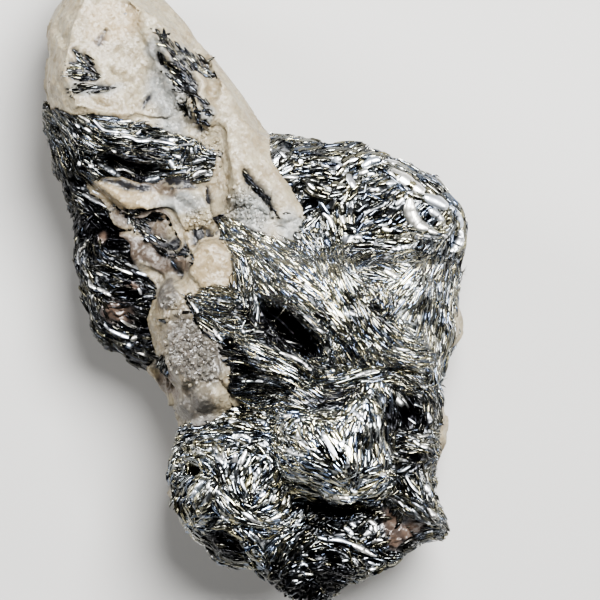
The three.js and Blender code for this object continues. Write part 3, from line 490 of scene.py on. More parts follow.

# %% [markdown]
# ### The left mass and the band
# The left mass is made the darkest, which is partly painted shade, and it has brown crust on it. The
# band is a striped seam across the quartz. Its flakes are narrow and the most crowded of all, so that
# they draw its stripes.

# %% The left mass and the band
masses["left_mass"] = dict(fold=0.62, brightness_scale=0.13, rim_shine=(0.25, 0.9), strokes=[
    (5, 38, -35, 0.03), (6, 37.6, -35, 0.04), (4.6, 36.6, 60, 0.05), (7.5, 35.4, -20, 0.08),
    (5, 34.2, 80, 0.1), (8.4, 31, -10, 0.1), (9, 30.3, 0, 0.04), (7.6, 29.5, -20, 0.15),
    (10.4, 27.4, -30, 0.04), (4.6, 40.4, -40, 0.8), (5.4, 40, -40, 1), (6.2, 39.5, -35, 0.9),
    (7, 39.2, -35, 0.7), (8, 38.7, -45, 0.6), (5.8, 40.6, -35, 0.6), (6.6, 40.2, -40, 0.6),
    (4.2, 38.4, 50, 0.25), (6, 36.9, 70, 0.3), (6.4, 36, 90, 0.3), (3.8, 34.5, 85, 0.9),
    (4, 35.6, 60, 0.6), (3.9, 33.3, -70, 0.9), (4.8, 32.2, -65, 0.9), (5.1, 31.4, -50, 1),
    (6.4, 30.8, -28, 1), (5.4, 30.2, -80, 0.8), (6.2, 34.6, 80, 0.7), (6.9, 34.2, -10, 0.5),
    (6.6, 33.6, -50, 0.7), (7.5, 33.4, -25, 0.7), (8.6, 33.7, -25, 0.8), (9.6, 33.2, -25, 0.9),
    (10.6, 32.8, -25, 0.9), (11.6, 32.4, -20, 0.8), (8.6, 32.8, -30, 0.6), (6, 32.7, -30, 0.6),
    (7, 32.3, -60, 0.6), (6.2, 32, -20, 0.5), (7.6, 31.9, -30, 0.4), (9, 32, -45, 0.4),
    (9.2, 31.4, 0, 0.3), (10, 31, 60, 0.6), (10.9, 31.6, -50, 0.6), (10, 30.5, -30, 0.6),
    (11, 30.3, 10, 0.5), (6.4, 28.4, -60, 0.4), (8, 28.1, -45, 0.35), (8.6, 27.7, -30, 0.45),
    (9.4, 27.3, -30, 0.5), (7.4, 27, -30, 0.9), (6.6, 27.4, -60, 0.9), (8.2, 26.4, -30, 1),
    (7.4, 25.4, -40, 0.9), (8.2, 24.8, -40, 0.9), (8.8, 25.4, -70, 1), (9.4, 25.8, 40, 0.9),
    (9.6, 24.8, -25, 0.8), (10.4, 24.5, -20, 0.8), (10.8, 25.8, 30, 0.4), (11.6, 24.8, -30, 0.6),
    (3.2, 41.6, -60, 0.1),
], ledges=[
    (1.2, 0.8, [(4, 40.5), (5, 39.9), (6.2, 39.2), (7.4, 38.7), (8.6, 38)]),
    (0.8, 0.5, [(5, 41), (6, 40.4), (7, 39.8)]),
    (1, 0.7, [(5.4, 31), (6.3, 30.5), (7.2, 30.2), (8.4, 30)]),
    (1, 0.7, [(5, 33.2), (6.2, 33.2), (7.6, 32.9), (9.2, 32.4), (10.8, 32)]),
    (0.8, 0.6, [(5.4, 32.4), (6.6, 31.6), (7.8, 31.4), (9, 31.2)]),
    (0.9, 0.6, [(6.3, 27), (7.2, 26.4), (8.2, 25.9), (9, 25.9)]),
    (0.8, 0.6, [(5.9, 29.8), (6.3, 28.6), (7, 27.7), (8, 27.2)][::-1]),
    (0.8, 0.6, [(6, 35.2), (6, 34.2), (6.8, 33.4)]),
], hollows=[
    (6.4, 37.4, 2.4, 0.9, -30, 1.8), (8.8, 30.4, 1.8, 0.5, -5, 1.4), (10.4, 27.6, 1, 0.8, -40, 1),
    (5.1, 34.3, 0.7, 0.7, 0, 1), (7.6, 35.5, 1.2, 0.5, -10, 1), (5, 36.3, 0.8, 0.9, 0, 1),
    (7.6, 29.4, 1.4, 0.9, -20, 0.6),
], rims=[
    (0.45, [(4.2, 40.7), (5, 40.2), (5.8, 39.8), (6.6, 39.3)]), (0.35, [(5.2, 41), (5.9, 40.6)]),
    (0.35, [(6.4, 40.1), (7.2, 39.5), (8, 38.9)]), (0.3, [(4.7, 36), (4.2, 35.3), (3.8, 34.9)]),
    (0.4, [(3.8, 35.2), (3.7, 34.3), (3.8, 33.5)]), (0.35, [(4, 33.4), (4.5, 32.8), (4.8, 32.2)]),
    (0.45, [(4.8, 32.1), (5, 31.5), (5.5, 31.1)]), (0.5, [(5.6, 31.2), (6.3, 30.9), (7.1, 30.4)]),
    (0.4, [(5.5, 30.8), (5.2, 30.1), (5.4, 29.3)]), (0.3, [(6, 35), (6.1, 34.2), (6.6, 33.7)]),
    (0.4, [(8.2, 33.9), (9.2, 33.4), (10.2, 33)]), (0.45, [(9.6, 32.8), (10.6, 32.5), (11.8, 32.2)]),
    (0.35, [(7.4, 33.4), (8.2, 33), (9.2, 32.6)]), (0.35, [(5.5, 32.8), (6.2, 32.5)]),
    (0.35, [(9.8, 31.2), (10.1, 30.5)]), (0.3, [(10.6, 31.6), (11.4, 31.2)]),
    (0.3, [(10.2, 30.3), (11.2, 30.4)]), (0.55, [(6.3, 27.6), (7, 27), (8, 26.5), (8.8, 26.2)]),
    (0.5, [(7.2, 25.7), (7.8, 25.1), (8.8, 24.5)]), (0.6, [(8.6, 25.6), (9.2, 25.3)]),
    (0.45, [(9, 25.9), (9.6, 26.3)]), (0.4, [(9.4, 24.8), (10.2, 24.6), (10.8, 24.3)]),
    (0.35, [(8, 28), (8.8, 27.5), (9.6, 27.2)]), (0.3, [(11.2, 24.9), (11.9, 24.6)]),
], earth=[
    (7.6, 28.6, 2, 1.4, -20), (9.3, 31.4, 0.8, 0.5, 0), (6.3, 36.4, 0.4, 0.8, 0),
], flake=dict(length=1.7, width=0.34, crowd=6.5, packets=16, own=18))
masses["upper_band"] = dict(fold=0.62, brightness_scale=0.52, rim_shine=(0.25, 0.9), strokes=[
    (4, 48.4, -30, 0.3), (5, 48, -35, 0.3), (4.8, 47, -50, 0.9), (5.4, 46.6, -50, 0.8),
    (6.4, 47.4, -15, 0.3), (7.6, 47.8, -10, 0.5), (9, 47.8, 5, 0.6), (10.4, 47.8, 12, 0.5),
    (11.4, 47.6, 15, 0.3), (7, 46.9, -20, 0.5), (8.4, 46.7, -8, 0.5), (9.6, 47.2, 5, 0.2),
    (11, 46.8, 5, 0.2), (6.4, 46.2, -20, 0.5), (8, 46.2, -10, 0.5), (9.2, 46.2, -8, 0.9),
    (10.6, 46, 0, 0.7), (12, 45.9, -5, 0.8), (13.4, 45.6, -10, 0.9), (9, 45.6, -3, 0.5),
    (10.8, 45.5, 5, 0.05), (5.6, 45.6, -25, 0.5), (7, 45.4, -18, 0.4), (8.4, 45.1, -8, 0.3),
    (12.4, 45.3, -8, 1), (5, 45, -30, 0.8), (6.4, 44.9, -20, 0.7), (7.8, 44.7, -22, 0.9),
    (9.4, 44.6, -8, 0.3), (11, 44.6, -5, 0.2), (12.2, 44.4, 0, 0.1), (6, 44.5, -10, 0.8),
    (7.4, 44, -5, 0.03), (9, 44, -10, 0.05), (10.4, 43.8, -12, 0.8), (11.6, 43.6, 0, 0.9),
    (6.4, 43.4, -30, 1), (7.6, 42.8, -35, 1), (8, 43.3, -30, 0.6), (8.8, 42.8, -30, 0.6),
    (10, 43.1, 0, 0.1), (11.2, 43.2, 20, 0.6), (9.6, 42.4, -20, 0.5), (11.4, 42.1, 15, 0.9),
    (12.6, 42.7, 10, 0.7), (13.9, 42.7, 10, 0.9), (13.9, 44.2, 70, 1), (15.4, 43.8, 20, 0.9),
    (16.2, 42.8, 30, 1), (15.2, 45.2, 80, 0.8), (16.8, 44.4, -10, 0.3), (14.4, 43, 20, 0.8),
    (3.8, 44.2, 85, 0.5), (3.9, 47.2, -60, 0.3), (3.8, 45.6, -60, 0.2), (2.4, 46.4, -50, 0.5),
    (1.6, 48.4, -40, 0.5), (2.2, 44.4, -70, 0.4), (4.6, 43.6, 90, 0.05),
], ledges=[
    (0.8, 0.5, [(6.2, 47.4), (8, 47.4), (9.4, 47.3), (10.8, 47.6), (12, 47.8)]),
    (0.9, 0.5, [(5.6, 46.4), (7.4, 46.3), (8.6, 46.3), (9.6, 46.1), (11, 46.3), (12.4, 46.2)]),
    (1.1, 0.6, [(8, 45.7), (9.6, 45.5), (10.8, 45.8), (12, 45.3), (12.9, 45)]),
    (1.1, 0.6, [(5.4, 45.2), (6.8, 44.6), (8.2, 44.3), (9.6, 44.2)]),
    (1.1, 0.6, [(9.8, 44), (10.8, 43.6), (12, 43.5), (13, 43.1), (14.2, 43.2)]),
    (1.4, 0.8, [(5.5, 43.5), (6.6, 43), (7.4, 42.4), (8.4, 42.1)]),
    (1.2, 0.7, [(9.2, 42.4), (10.2, 41.7), (11.2, 41.8), (12.4, 42.4), (13.9, 42.5), (15.2, 41.8)]),
    (0.7, 0.4, [(8, 43.3), (9, 42.7), (10.2, 42.5)]),
    (0.7, 0.4, [(15, 43.5), (16, 43.6), (16.8, 43.6)]),
    (0.8, 0.4, [(4.4, 47.2), (5.2, 46.3), (6.2, 45.8)]),
], hollows=[
    (10.8, 45.4, 1.4, 0.3, 4, 0.9), (8.2, 44, 2.2, 0.35, -5, 1), (10.6, 43.1, 1.4, 0.35, 0, 0.8),
    (4.6, 43.9, 0.7, 0.9, 10, 1.4), (11, 46.7, 1, 0.4, 0, 0.6), (9.4, 42.2, 1.6, 0.4, -20, 0.8),
], rims=[
    (0.4, [(8.2, 46.4), (9.2, 46.2), (9.8, 45.9), (11, 45.9), (12.2, 45.8), (13.6, 45.5)]),
    (0.45, [(11.5, 45.4), (12.3, 45.3), (12.9, 45)]), (0.4, [(4.5, 47.2), (5.1, 46.8), (5.4, 46.3)]),
    (0.5, [(5.7, 43.7), (6.3, 43.4), (7, 43), (7.6, 42.6), (8.2, 42.3)]),
    (0.35, [(7.2, 45), (7.9, 44.6), (8.8, 44.4)]), (0.3, [(5.5, 44.6), (6.1, 44.4), (6.7, 44.2)]),
    (0.35, [(10, 44), (10.8, 43.7), (12, 43.6), (12.6, 43.3)]), (0.3, [(11.2, 43.1), (12, 43.4)]),
    (0.35, [(7.6, 43), (8.4, 43.1), (9.2, 42.7)]), (0.6, [(10.4, 41.8), (11, 42), (11.9, 42.3)]),
    (0.3, [(12.2, 42.5), (13.4, 42.7), (14.6, 42.8)]), (0.8, [(13.4, 44.5), (14.2, 44.2), (14.4, 43.6)]),
    (0.5, [(13, 44), (13.4, 43.3), (14.2, 43.4)]), (0.5, [(15, 43.7), (15.8, 43.9), (16.6, 44.1)]),
    (0.6, [(15.3, 42.2), (16, 42.7), (16.9, 43)]), (0.5, [(15.6, 43), (16.4, 43.4)]),
    (0.5, [(16.4, 42.5), (17.2, 42.5)]), (0.4, [(15.1, 45.2), (15.3, 44.6)]),
    (0.35, [(15.6, 45.4), (15.7, 44.6)]), (0.3, [(8, 47.8), (9.2, 47.9), (10.4, 48)]),
    (0.3, [(8.2, 46.8), (9, 46.8)]), (0.3, [(5.4, 48), (6.4, 47), (7.6, 46.8)]),
    (0.4, [(4.6, 45), (5.1, 44.8)]), (0.35, [(3.9, 43.4), (3.9, 44)]),
    (0.35, [(5, 43.7), (5.1, 43.2)]), (0.4, [(13.9, 45.4), (14.6, 45.5), (15.4, 45.6)]),
    (0.3, [(3.6, 47.6), (4, 47.2)]), (0.3, [(3.4, 48.8), (4.4, 48.2), (5, 47.8)]),
], flake=dict(length=2.9, width=0.20, crowd=13, packets=14, own=8))

# %% [markdown]
# ## Spots of painted light and shade
# Light and dark patches run across the masses without regard to the grain. They could come from the
# lights alone, but the relief here is too rough a guess for that. So they are painted, from a list:
# a middle, two radii, a turn, and a change, above 0 for painted light and below 0 for painted shade.
# They hold the light and shade as it fell on the specimen, so they suit that one light.

# %% Spots of painted light and shade
light_and_shade_spots = [
    (28.6, 15.2, 3.4, 2.4, -15, 0.8), (25.5, 16.6, 1.8, 1.6, 0, 0.4), (39.6, 39, 2.8, 3.2, 30, 0.6),
    (34.4, 36.8, 2.6, 2, 0, 0.5), (27.2, 37.6, 1.4, 1.8, 0, 0.7), (22, 33.2, 2.8, 1.6, -40, 0.6),
    (31.5, 27.8, 2.6, 1.4, 0, 0.5), (23.6, 13, 1.6, 1.8, 0, 0.5), (14.8, 14, 1.8, 1.4, 0, 0.5),
    (21.5, 9.5, 2, 1.2, -20, 0.5), (25, 5, 2.2, 1.4, 60, 0.5), (37.4, 9.8, 2.8, 1.8, -35, 0.6),
    (8, 26, 2.8, 1.6, -40, 0.8), (4.8, 33, 1.2, 2.2, 0, 0.5), (30.8, 40.4, 1.8, 3.2, 0, 0.4),
    (31.6, 33.6, 2.4, 1.4, 0, 0.2), (15.2, 44.2, 3, 2, 0, 1.3), (29.6, 20.3, 3.2, 1.1, 12, -0.8),
    (34.8, 18, 1.4, 3.4, 0, -0.7), (37, 19, 2.4, 2.8, 0, -0.4), (28.2, 23.8, 2.2, 1.2, -20, -0.4),
    (24.6, 27.2, 4.2, 3, -38, -0.8), (20.4, 29.2, 1.6, 1.6, 0, -0.3), (20.8, 22.6, 3.8, 2.2, -10, -0.55),
    (9.6, 43.9, 4.2, 1, -8, -0.7), (6.4, 45, 2.4, 1.4, -20, -0.4), (8.8, 31.2, 3, 2.4, -20, -0.4),
    (6.4, 36.8, 2.6, 1.8, 0, -0.6), (18.2, 5.6, 3.2, 2, -25, -0.7), (28.4, 9.4, 4.4, 1.1, -3, -0.8),
    (28.4, 2.6, 2.4, 1.8, 0, -0.5), (36.6, 13.8, 2.2, 1.2, 0, -0.5), (11, 45.2, 2.6, 1.2, 0, -0.4),
    (9.6, 42.3, 4.8, 0.6, -12, -0.9), (14.2, 41.9, 2.2, 0.4, -5, -0.8), (8.6, 38, 2.2, 0.8, -20, -0.5),
    (27.4, 29.6, 2.8, 0.7, -45, -0.8), (34.2, 28.4, 1.8, 0.5, -50, -0.8), (16.4, 30.4, 1.6, 1.2, 0, 0.7),
    (18.4, 15.8, 1.8, 1.4, 0, 0.9), (36.2, 9.2, 2.6, 1.8, -35, 0.9), (39, 36, 1.6, 1.6, 0, 0.5),
    (33.6, 29, 2.8, 1, -12, -0.35), (34.6, 33.2, 1.8, 1.2, 0, -0.35), (38.2, 26.8, 1.2, 1.4, 0, -0.4),
    (21, 29.6, 1, 2.2, 0, -0.6), (30.2, 24.6, 2.4, 0.8, -10, -0.5), (20, 31.2, 2.6, 1.5, -35, 0.5),
    (25, 33, 5.6, 3, -35, 1.2), (28.6, 34.8, 2.2, 1.4, 0, 0.9), (27.4, 36.4, 1.8, 2, 0, 0.9),
    (17.4, 26.2, 1, 2.4, 20, -0.7), (7.2, 37.4, 2, 0.9, -30, -0.6), (30.4, 36, 1.4, 1.2, 0, 0.4),
    (34, 36.4, 1.8, 1.4, 0, 0.4), (18.4, 29.4, 1.4, 1, 0, 0.4), (21, 19.4, 1.6, 2, 0, 0.5),
    (33.6, 26.4, 2.8, 2, 0, 0.5), (38.2, 29.6, 1.6, 1.4, 0, 0.4), (24.2, 5.4, 1.6, 2, 0, 0.9),
    (26.4, 5.6, 1.2, 1.2, 0, 0.6), (20.6, 18.2, 1.6, 1.2, 0, 0.6), (34.4, 36.8, 2.6, 1.8, 0, 0.8),
    (31.6, 28.6, 3.6, 0.7, -30, -0.3), (5.4, 45.6, 1.8, 1.2, -20, 0.5), (21.8, 31.6, 1.6, 1.8, 0, 0.6),
    (30.4, 22.3, 2.2, 0.8, 10, 0.4), (27.6, 14.2, 3.6, 2, -15, 1.2),
]
for number, mass in enumerate(masses.values()):
    mass["seed"] = 10 * number
print("strokes:", {name: len(mass["strokes"]) for name, mass in masses.items()})
print("rims:", {name: len(mass["rims"]) for name, mass in masses.items()})

# %% [markdown]
# ## Reading the comb
# Every point of a surface asks the strokes of all the masses for a direction, and the nearest ones
# count most, so the grain runs on from one mass to the next. A direction and its opposite are the
# same grain, so angles are doubled before they are averaged. The edge of a ledge is a stroke too,
# because its layer shows there edge on.

# %% Reading the comb
def all_strokes(mass):
    """A mass's strokes and the edges of its ledges, as rows of right, up, degrees, brightness."""
    rows = list(mass["strokes"])
    for _, _, points in mass["ledges"]:
        for (a, b), (c, d) in zip(points, points[1:]):
            slope = math.degrees(math.atan2(d - b, c - a))
            # The edge points get full brightness, a painted highlight on the broken edge of the layer.
            rows += [(a + (c - a) * t, b + (d - b) * t, slope, 1.0) for t in (0.25, 0.75)]
    return np.array(rows)


OPEN_SIDE = math.radians(64)
CHART_STEP = 0.25 * MM


def comb_chart(rows):
    """A level chart of the comb: where it starts, and its grain and brightness at even steps."""
    spots = on_map(rows)
    low, high = spots.min(0) - 4 * MM, spots.max(0) + 4 * MM
    across, up = (np.arange(a, b, CHART_STEP) for a, b in zip(low, high))
    knots = np.stack(np.meshgrid(across, up, indexing="ij"), -1)
    apart = ((knots[:, :, None] - spots) ** 2).sum(3)
    shares = (apart + (0.45 * MM) ** 2) ** -2
    shares /= shares.sum(2, keepdims=True)
    twice = np.radians(rows[:, 2]) * 2
    return low, np.stack([shares @ np.cos(twice), shares @ np.sin(twice), shares @ rows[:, 3]], -1)


def grain(places, chart):
    """The direction of the flakes at each place, level, and how bright they are."""
    low, knots = chart
    spot = ((places[:, :2] - low) / CHART_STEP).clip(0, np.array(knots.shape[:2]) - 1.001)
    cell = spot.astype(int)
    part = spot - cell
    here = 0
    for i, j in np.ndindex(2, 2):
        share = np.where(i, part[:, 0], 1 - part[:, 0]) * np.where(j, part[:, 1], 1 - part[:, 1])
        here = here + share[:, None] * knots[cell[:, 0] + i, cell[:, 1] + j]
    angle = np.arctan2(here[:, 1], here[:, 0]) / 2
    angle += np.pi * (np.sin(angle - OPEN_SIDE) < 0)
    return np.stack([np.cos(angle), np.sin(angle), 0 * angle], 1), here[:, 2]


chart = comb_chart(np.concatenate([all_strokes(mass) for mass in masses.values()]))
print("comb chart:", chart[1].shape[:2], "knots")


def beside_line(places, points):
    """How far each place is from a line of map points, and on which side: below 0 is its right."""
    line = on_map(points)
    best = np.full(len(places), 1.0)
    side = np.zeros(len(places))
    along = np.zeros(len(places))
    for i, (start, end) in enumerate(zip(line, line[1:])):
        run = end - start
        away = places[:, :2] - start
        share = (away @ run / (run @ run)).clip(0, 1)
        off = away - share[:, None] * run
        apart = np.hypot(*off.T)
        turn = run[0] * away[:, 1] - run[1] * away[:, 0]
        closer = apart < best
        side = np.where(closer, np.sign(turn), side)
        along = np.where(closer, (i + share) / (len(line) - 1), along)
        best = np.minimum(best, apart)
    return best, side, along


def ledge_drop(places, ledges):
    """How far the surface goes down beside the ledges of a mass, in metres."""
    total = np.zeros(len(places))
    for drop, width, points in ledges:
        apart, side, along = beside_line(places, points)
        taper = np.sin(np.pi * along.clip(0, 1)) ** 0.5
        fall = (1 - apart / (width * MM)).clip(0, 1) * (side < 0)
        lip = (1 - apart / (0.5 * MM)).clip(0, 1) * (side >= 0)
        total = np.maximum(total, drop * MM * taper * fall) - 0.12 * MM * lip * taper
    return total


def hollow_depth(places, hollows):
    """How far into its hollows a place is, from 0 to 1, and how far down that takes it, in metres."""
    inside, total = np.zeros(len(places)), np.zeros(len(places))
    for right, up, wide, high, turn, depth in hollows:
        away = (places[:, :2] - on_map([(right, up)])[0]) / MM
        cosine, sine = math.cos(math.radians(turn)), math.sin(math.radians(turn))
        across = (away[:, 0] * cosine + away[:, 1] * sine) / wide
        upward = (away[:, 1] * cosine - away[:, 0] * sine) / high
        share = (1.15 - across**2 - upward**2).clip(0, 1)
        inside = np.maximum(inside, share)
        total = np.maximum(total, depth * MM * share)
    return inside, total


# %% [markdown]
# ## From a faceted solid to a lumpy body
# A copy of a frame solid is closed up, rebuilt from even little cubes so that it has enough points
# to shape, and smoothed.

# %% Even copies of the frame's solids
def mesh_points(mesh):
    found = np.empty(len(mesh.vertices) * 3, np.float32)
    mesh.vertices.foreach_get("co", found)
    return found.reshape(-1, 3).astype(float)


def mesh_normals(mesh):
    found = np.empty(len(mesh.vertices) * 3, np.float32)
    mesh.vertex_normals.foreach_get("vector", found)
    return found.reshape(-1, 3).astype(float)


def set_points(mesh, places):
    mesh.vertices.foreach_set("co", places.astype(np.float32).ravel())
    mesh.update()


def set_attribute(mesh, name, kind, values):
    layer = mesh.attributes.new(name, kind, "POINT")
    field = "vector" if kind == "FLOAT_VECTOR" else "value"
    layer.data.foreach_set(field, np.asarray(values, np.float32).ravel())


def merged_copy(node, swell=0.0):
    """A closed bmesh copy of a frame node, pushed out along its normals by this much."""
    work = bmesh.new()
    work.from_mesh(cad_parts[node].data)
    bmesh.ops.remove_doubles(work, verts=work.verts, dist=0.01 * MM)
    work.normal_update()
    for vert in work.verts:
        vert.co += vert.normal * swell
    return work


BOX_ROOM = 0.02


def in_box(places, room=BOX_ROOM):
    """Places kept inside the frame's box, with this much room in millimetres, but none below."""
    low, high = (np.array(corner) for corner in cad_box)
    return places.clip(low + np.array([room, room, 0]) * MM, high - room * MM)


def settled(body):
    """Applies an object's modifiers to its mesh."""
    ready = body.evaluated_get(bpy.context.evaluated_depsgraph_get())
    made = bpy.data.meshes.new_from_object(ready)
    body.modifiers.clear()
    body.data = made
    return body


def even_body(name, mesh, cell, smoothing):
    """An object from a mesh that is rebuilt from cubes of this size and smoothed."""
    body = bpy.data.objects.new(name, mesh)
    bpy.context.collection.objects.link(body)
    remesh = body.modifiers.new("even", "REMESH")
    remesh.mode = "VOXEL"
    remesh.voxel_size = cell
    remesh.use_smooth_shade = True
    smooth = body.modifiers.new("smooth", "SMOOTH")
    smooth.iterations = smoothing
    return settled(body)


def surface_of(body):
    """A search tree over an object's faces."""
    mesh = body.data
    return BVHTree.FromPolygons([v.co for v in mesh.vertices], [tuple(p.vertices) for p in mesh.polygons])


def neighbours_of(*nodes):
    """A search tree over the surfaces of all the other frame nodes."""
    corners, faces = [], []
    for other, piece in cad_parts.items():
        if other not in nodes:
            start = len(corners)
            corners += [v.co for v in piece.data.vertices]
            faces += [[start + i for i in p.vertices] for p in piece.data.polygons]
    return BVHTree.FromPolygons(corners, faces)


# %% [markdown]
# ## Closing the trenches
# Between two rounded solids the frame has a deep trench, but grown masses meet with a shallow one.
# A chart of the frame's heights from above is closed: every place takes the highest value near it,
# and then the lowest of those. This fills what is narrow and leaves slopes and hills alone.

# %% Close the trenches
LAND_STEP = 0.3 * MM
NARROW, WIDE = 5, 10  # steps from the middle of the widest trench that is filled to its side
wide_fills = [
    (16, 45.8, 3.8, 3.6, 0), (11.4, 38.4, 4.2, 2, 0), (16.4, 21, 3.6, 2.4, 0),
    (27.2, 37, 2.6, 3, 0), (13.4, 34.6, 2, 2, 0), (17.6, 41.6, 1.6, 3.4, 0),
    (19.6, 22.6, 2, 2.4, 0), (18.2, 43.8, 2.4, 5, 0), (12.6, 37.4, 4.4, 3.2, -15),
    (21.4, 32.8, 2.4, 2.4, -35),
]


def land_chart():
    """Where a level grid starts, and the frame's heights on it."""
    whole = neighbours_of()
    low = np.array(cad_box[0][:2]) - 2 * MM
    across, up = (np.arange(low[i], cad_box[1][i] + 2 * MM, LAND_STEP) for i in (0, 1))
    heights = np.zeros((len(across), len(up)))
    for i, j in np.ndindex(heights.shape):
        hit = whole.ray_cast((across[i], up[j], 0.05), (0, 0, -1))[0]
        heights[i, j] = hit.z if hit else 0.0
    return low, heights


def closed(heights, reach):
    """The heights with the trenches filled that are up to twice the reach wide."""
    for pick in (np.max, np.min):
        for axis in (0, 1):
            heights = pick([np.roll(heights, k, axis) for k in range(-reach, reach + 1)], axis=0)
    for axis in (0, 1):
        heights = sum(np.roll(heights, k, axis) for k in (-1, 0, 1)) / 3
    return heights


def sloped(heights, reach=4, rounds=3):
    """The heights with a slope laid at the foot of each cliff."""
    soft = heights
    for axis in (0, 1) * rounds:
        soft = sum(np.roll(soft, k, axis) for k in range(-reach, reach + 1)) / (2 * reach + 1)
    return np.maximum(heights, soft)


land_start, land = land_chart()
closed_land, open_land = closed(land, NARROW), sloped(closed(land, WIDE))


def trench_fill(places, normals, groove=0.9):
    """How far up each place goes so that no filled trench is deeper than the groove, in metres."""
    knots = np.rint((places[:, :2] - land_start) / LAND_STEP).astype(int)
    cell = tuple(knots.clip(0, np.array(land.shape) - 1).T)
    share = hollow_depth(places, [(*patch, 0) for patch in wide_fills])[0]
    target = closed_land[cell] + (open_land[cell] - closed_land[cell]) * share
    seen = (places[:, 2] > land[cell] - 0.7 * MM) * (normals[:, 2] > -0.1)
    return (target - groove * MM * (1 - 0.5 * share) - places[:, 2]).clip(0, 5 * MM) * seen


print("trenches:", round(float((closed_land - land > 1 * MM).mean() * 100)), "% of the chart is filled")

# %% [markdown]
# ## The cores
# A mass has a body under its flakes. Its surface is drawn out into ridges along the grain, which
# makes the flakes lie in locks. Plain noise would give round lumps, so here each value of the noise
# is an average along the line that the grain follows.

# %% Noise along the grain
def combed_noise(places, chart, seeds, step=0.35, steps=6):
    """Kinds of noise drawn out along the grain: each is its average along a place's own flow line."""
    totals = [np.zeros(len(places)) for _ in seeds]
    for way in (1, -1):
        spot = places.copy()
        heading = grain(spot, chart)[0] * way
        for _ in range(steps):
            level, _ = grain(spot, chart)
            turned = np.sign((level * heading).sum(1, keepdims=True))
            heading = level * np.where(turned == 0, 1, turned)
            spot += heading * step * MM
            for total, (size, seed) in zip(totals, seeds):
                total += smooth_noise(spot, size * MM, seed)
    return [total / total.std() for total in totals]


def tangent(level, normals):
    """Level directions laid onto a surface."""
    round_about = np.cross(UP, normals)
    along = level - normals * (level * normals).sum(1, keepdims=True) + 0.15 * round_about
    return along / (np.linalg.norm(along, axis=1, keepdims=True) + 1e-9)


def free_edges(flow, face, normals):
    """The flow, turned round where the flakes' free edges would sink into the surface."""
    sunk = (np.cross(face, flow) * normals).sum(1) < -0.05
    return np.where(sunk[:, None], -flow, flow)


# %% [markdown]
# ## Turning the flakes to the light
# A flake is a small mirror, and it looks bright from above only if it throws the key light upwards.
# Flakes that lay just as the surface does would do so only here and there. So a flake on a surface
# that faces up is turned from that surface towards the tilt that mirrors the key light: by a fifth of
# the way where the mass is darkest, and nearly all of it where it is brightest. This suits one light
# and one side. The tilts of real flakes come from how they grew, not from a light.

# %% Turn to the light
KEY_PLACE = np.array([0.115, 0.175, 0.46])
GLINT = KEY_PLACE / np.linalg.norm(KEY_PLACE) + UP
GLINT /= np.linalg.norm(GLINT)


def facing_light(normals, share):
    """Directions between a surface's normals and the one that mirrors the key light upwards."""
    mixed = normals * (1 - share)[:, None] + GLINT * share[:, None]
    return mixed / np.linalg.norm(mixed, axis=1, keepdims=True)


def with_painted_spots(places, amount):
    """A brightness with spots of painted light, above 0, and of painted shade, below 0, laid on it."""
    for *patch, change in light_and_shade_spots:
        share = hollow_depth(places, [(*patch, 0)])[0] * change
        amount = np.where(share > 0, 1 - (1 - amount) * (1 - share), amount * (1 + share))
    return amount


# %% [markdown]
# ## One core
# Where it is free, a core lies a little below the frame's solid, so that the flakes have room to stand
# out of it. Where a neighbour is near it swells over the gap instead. Then trenches are filled,
# mounds are raised, and ledges and hollows are cut. Faces close against a neighbour get no flakes.

# %% Shape a core
SINK, SWELL = 0.5, 0.22  # millimetres below the solid where free, and above it at a neighbour
FLAKE_REACH = 0.7 * MM  # a neighbour this close in front of a face leaves no room for flakes
CORE_ROOM = 0.15


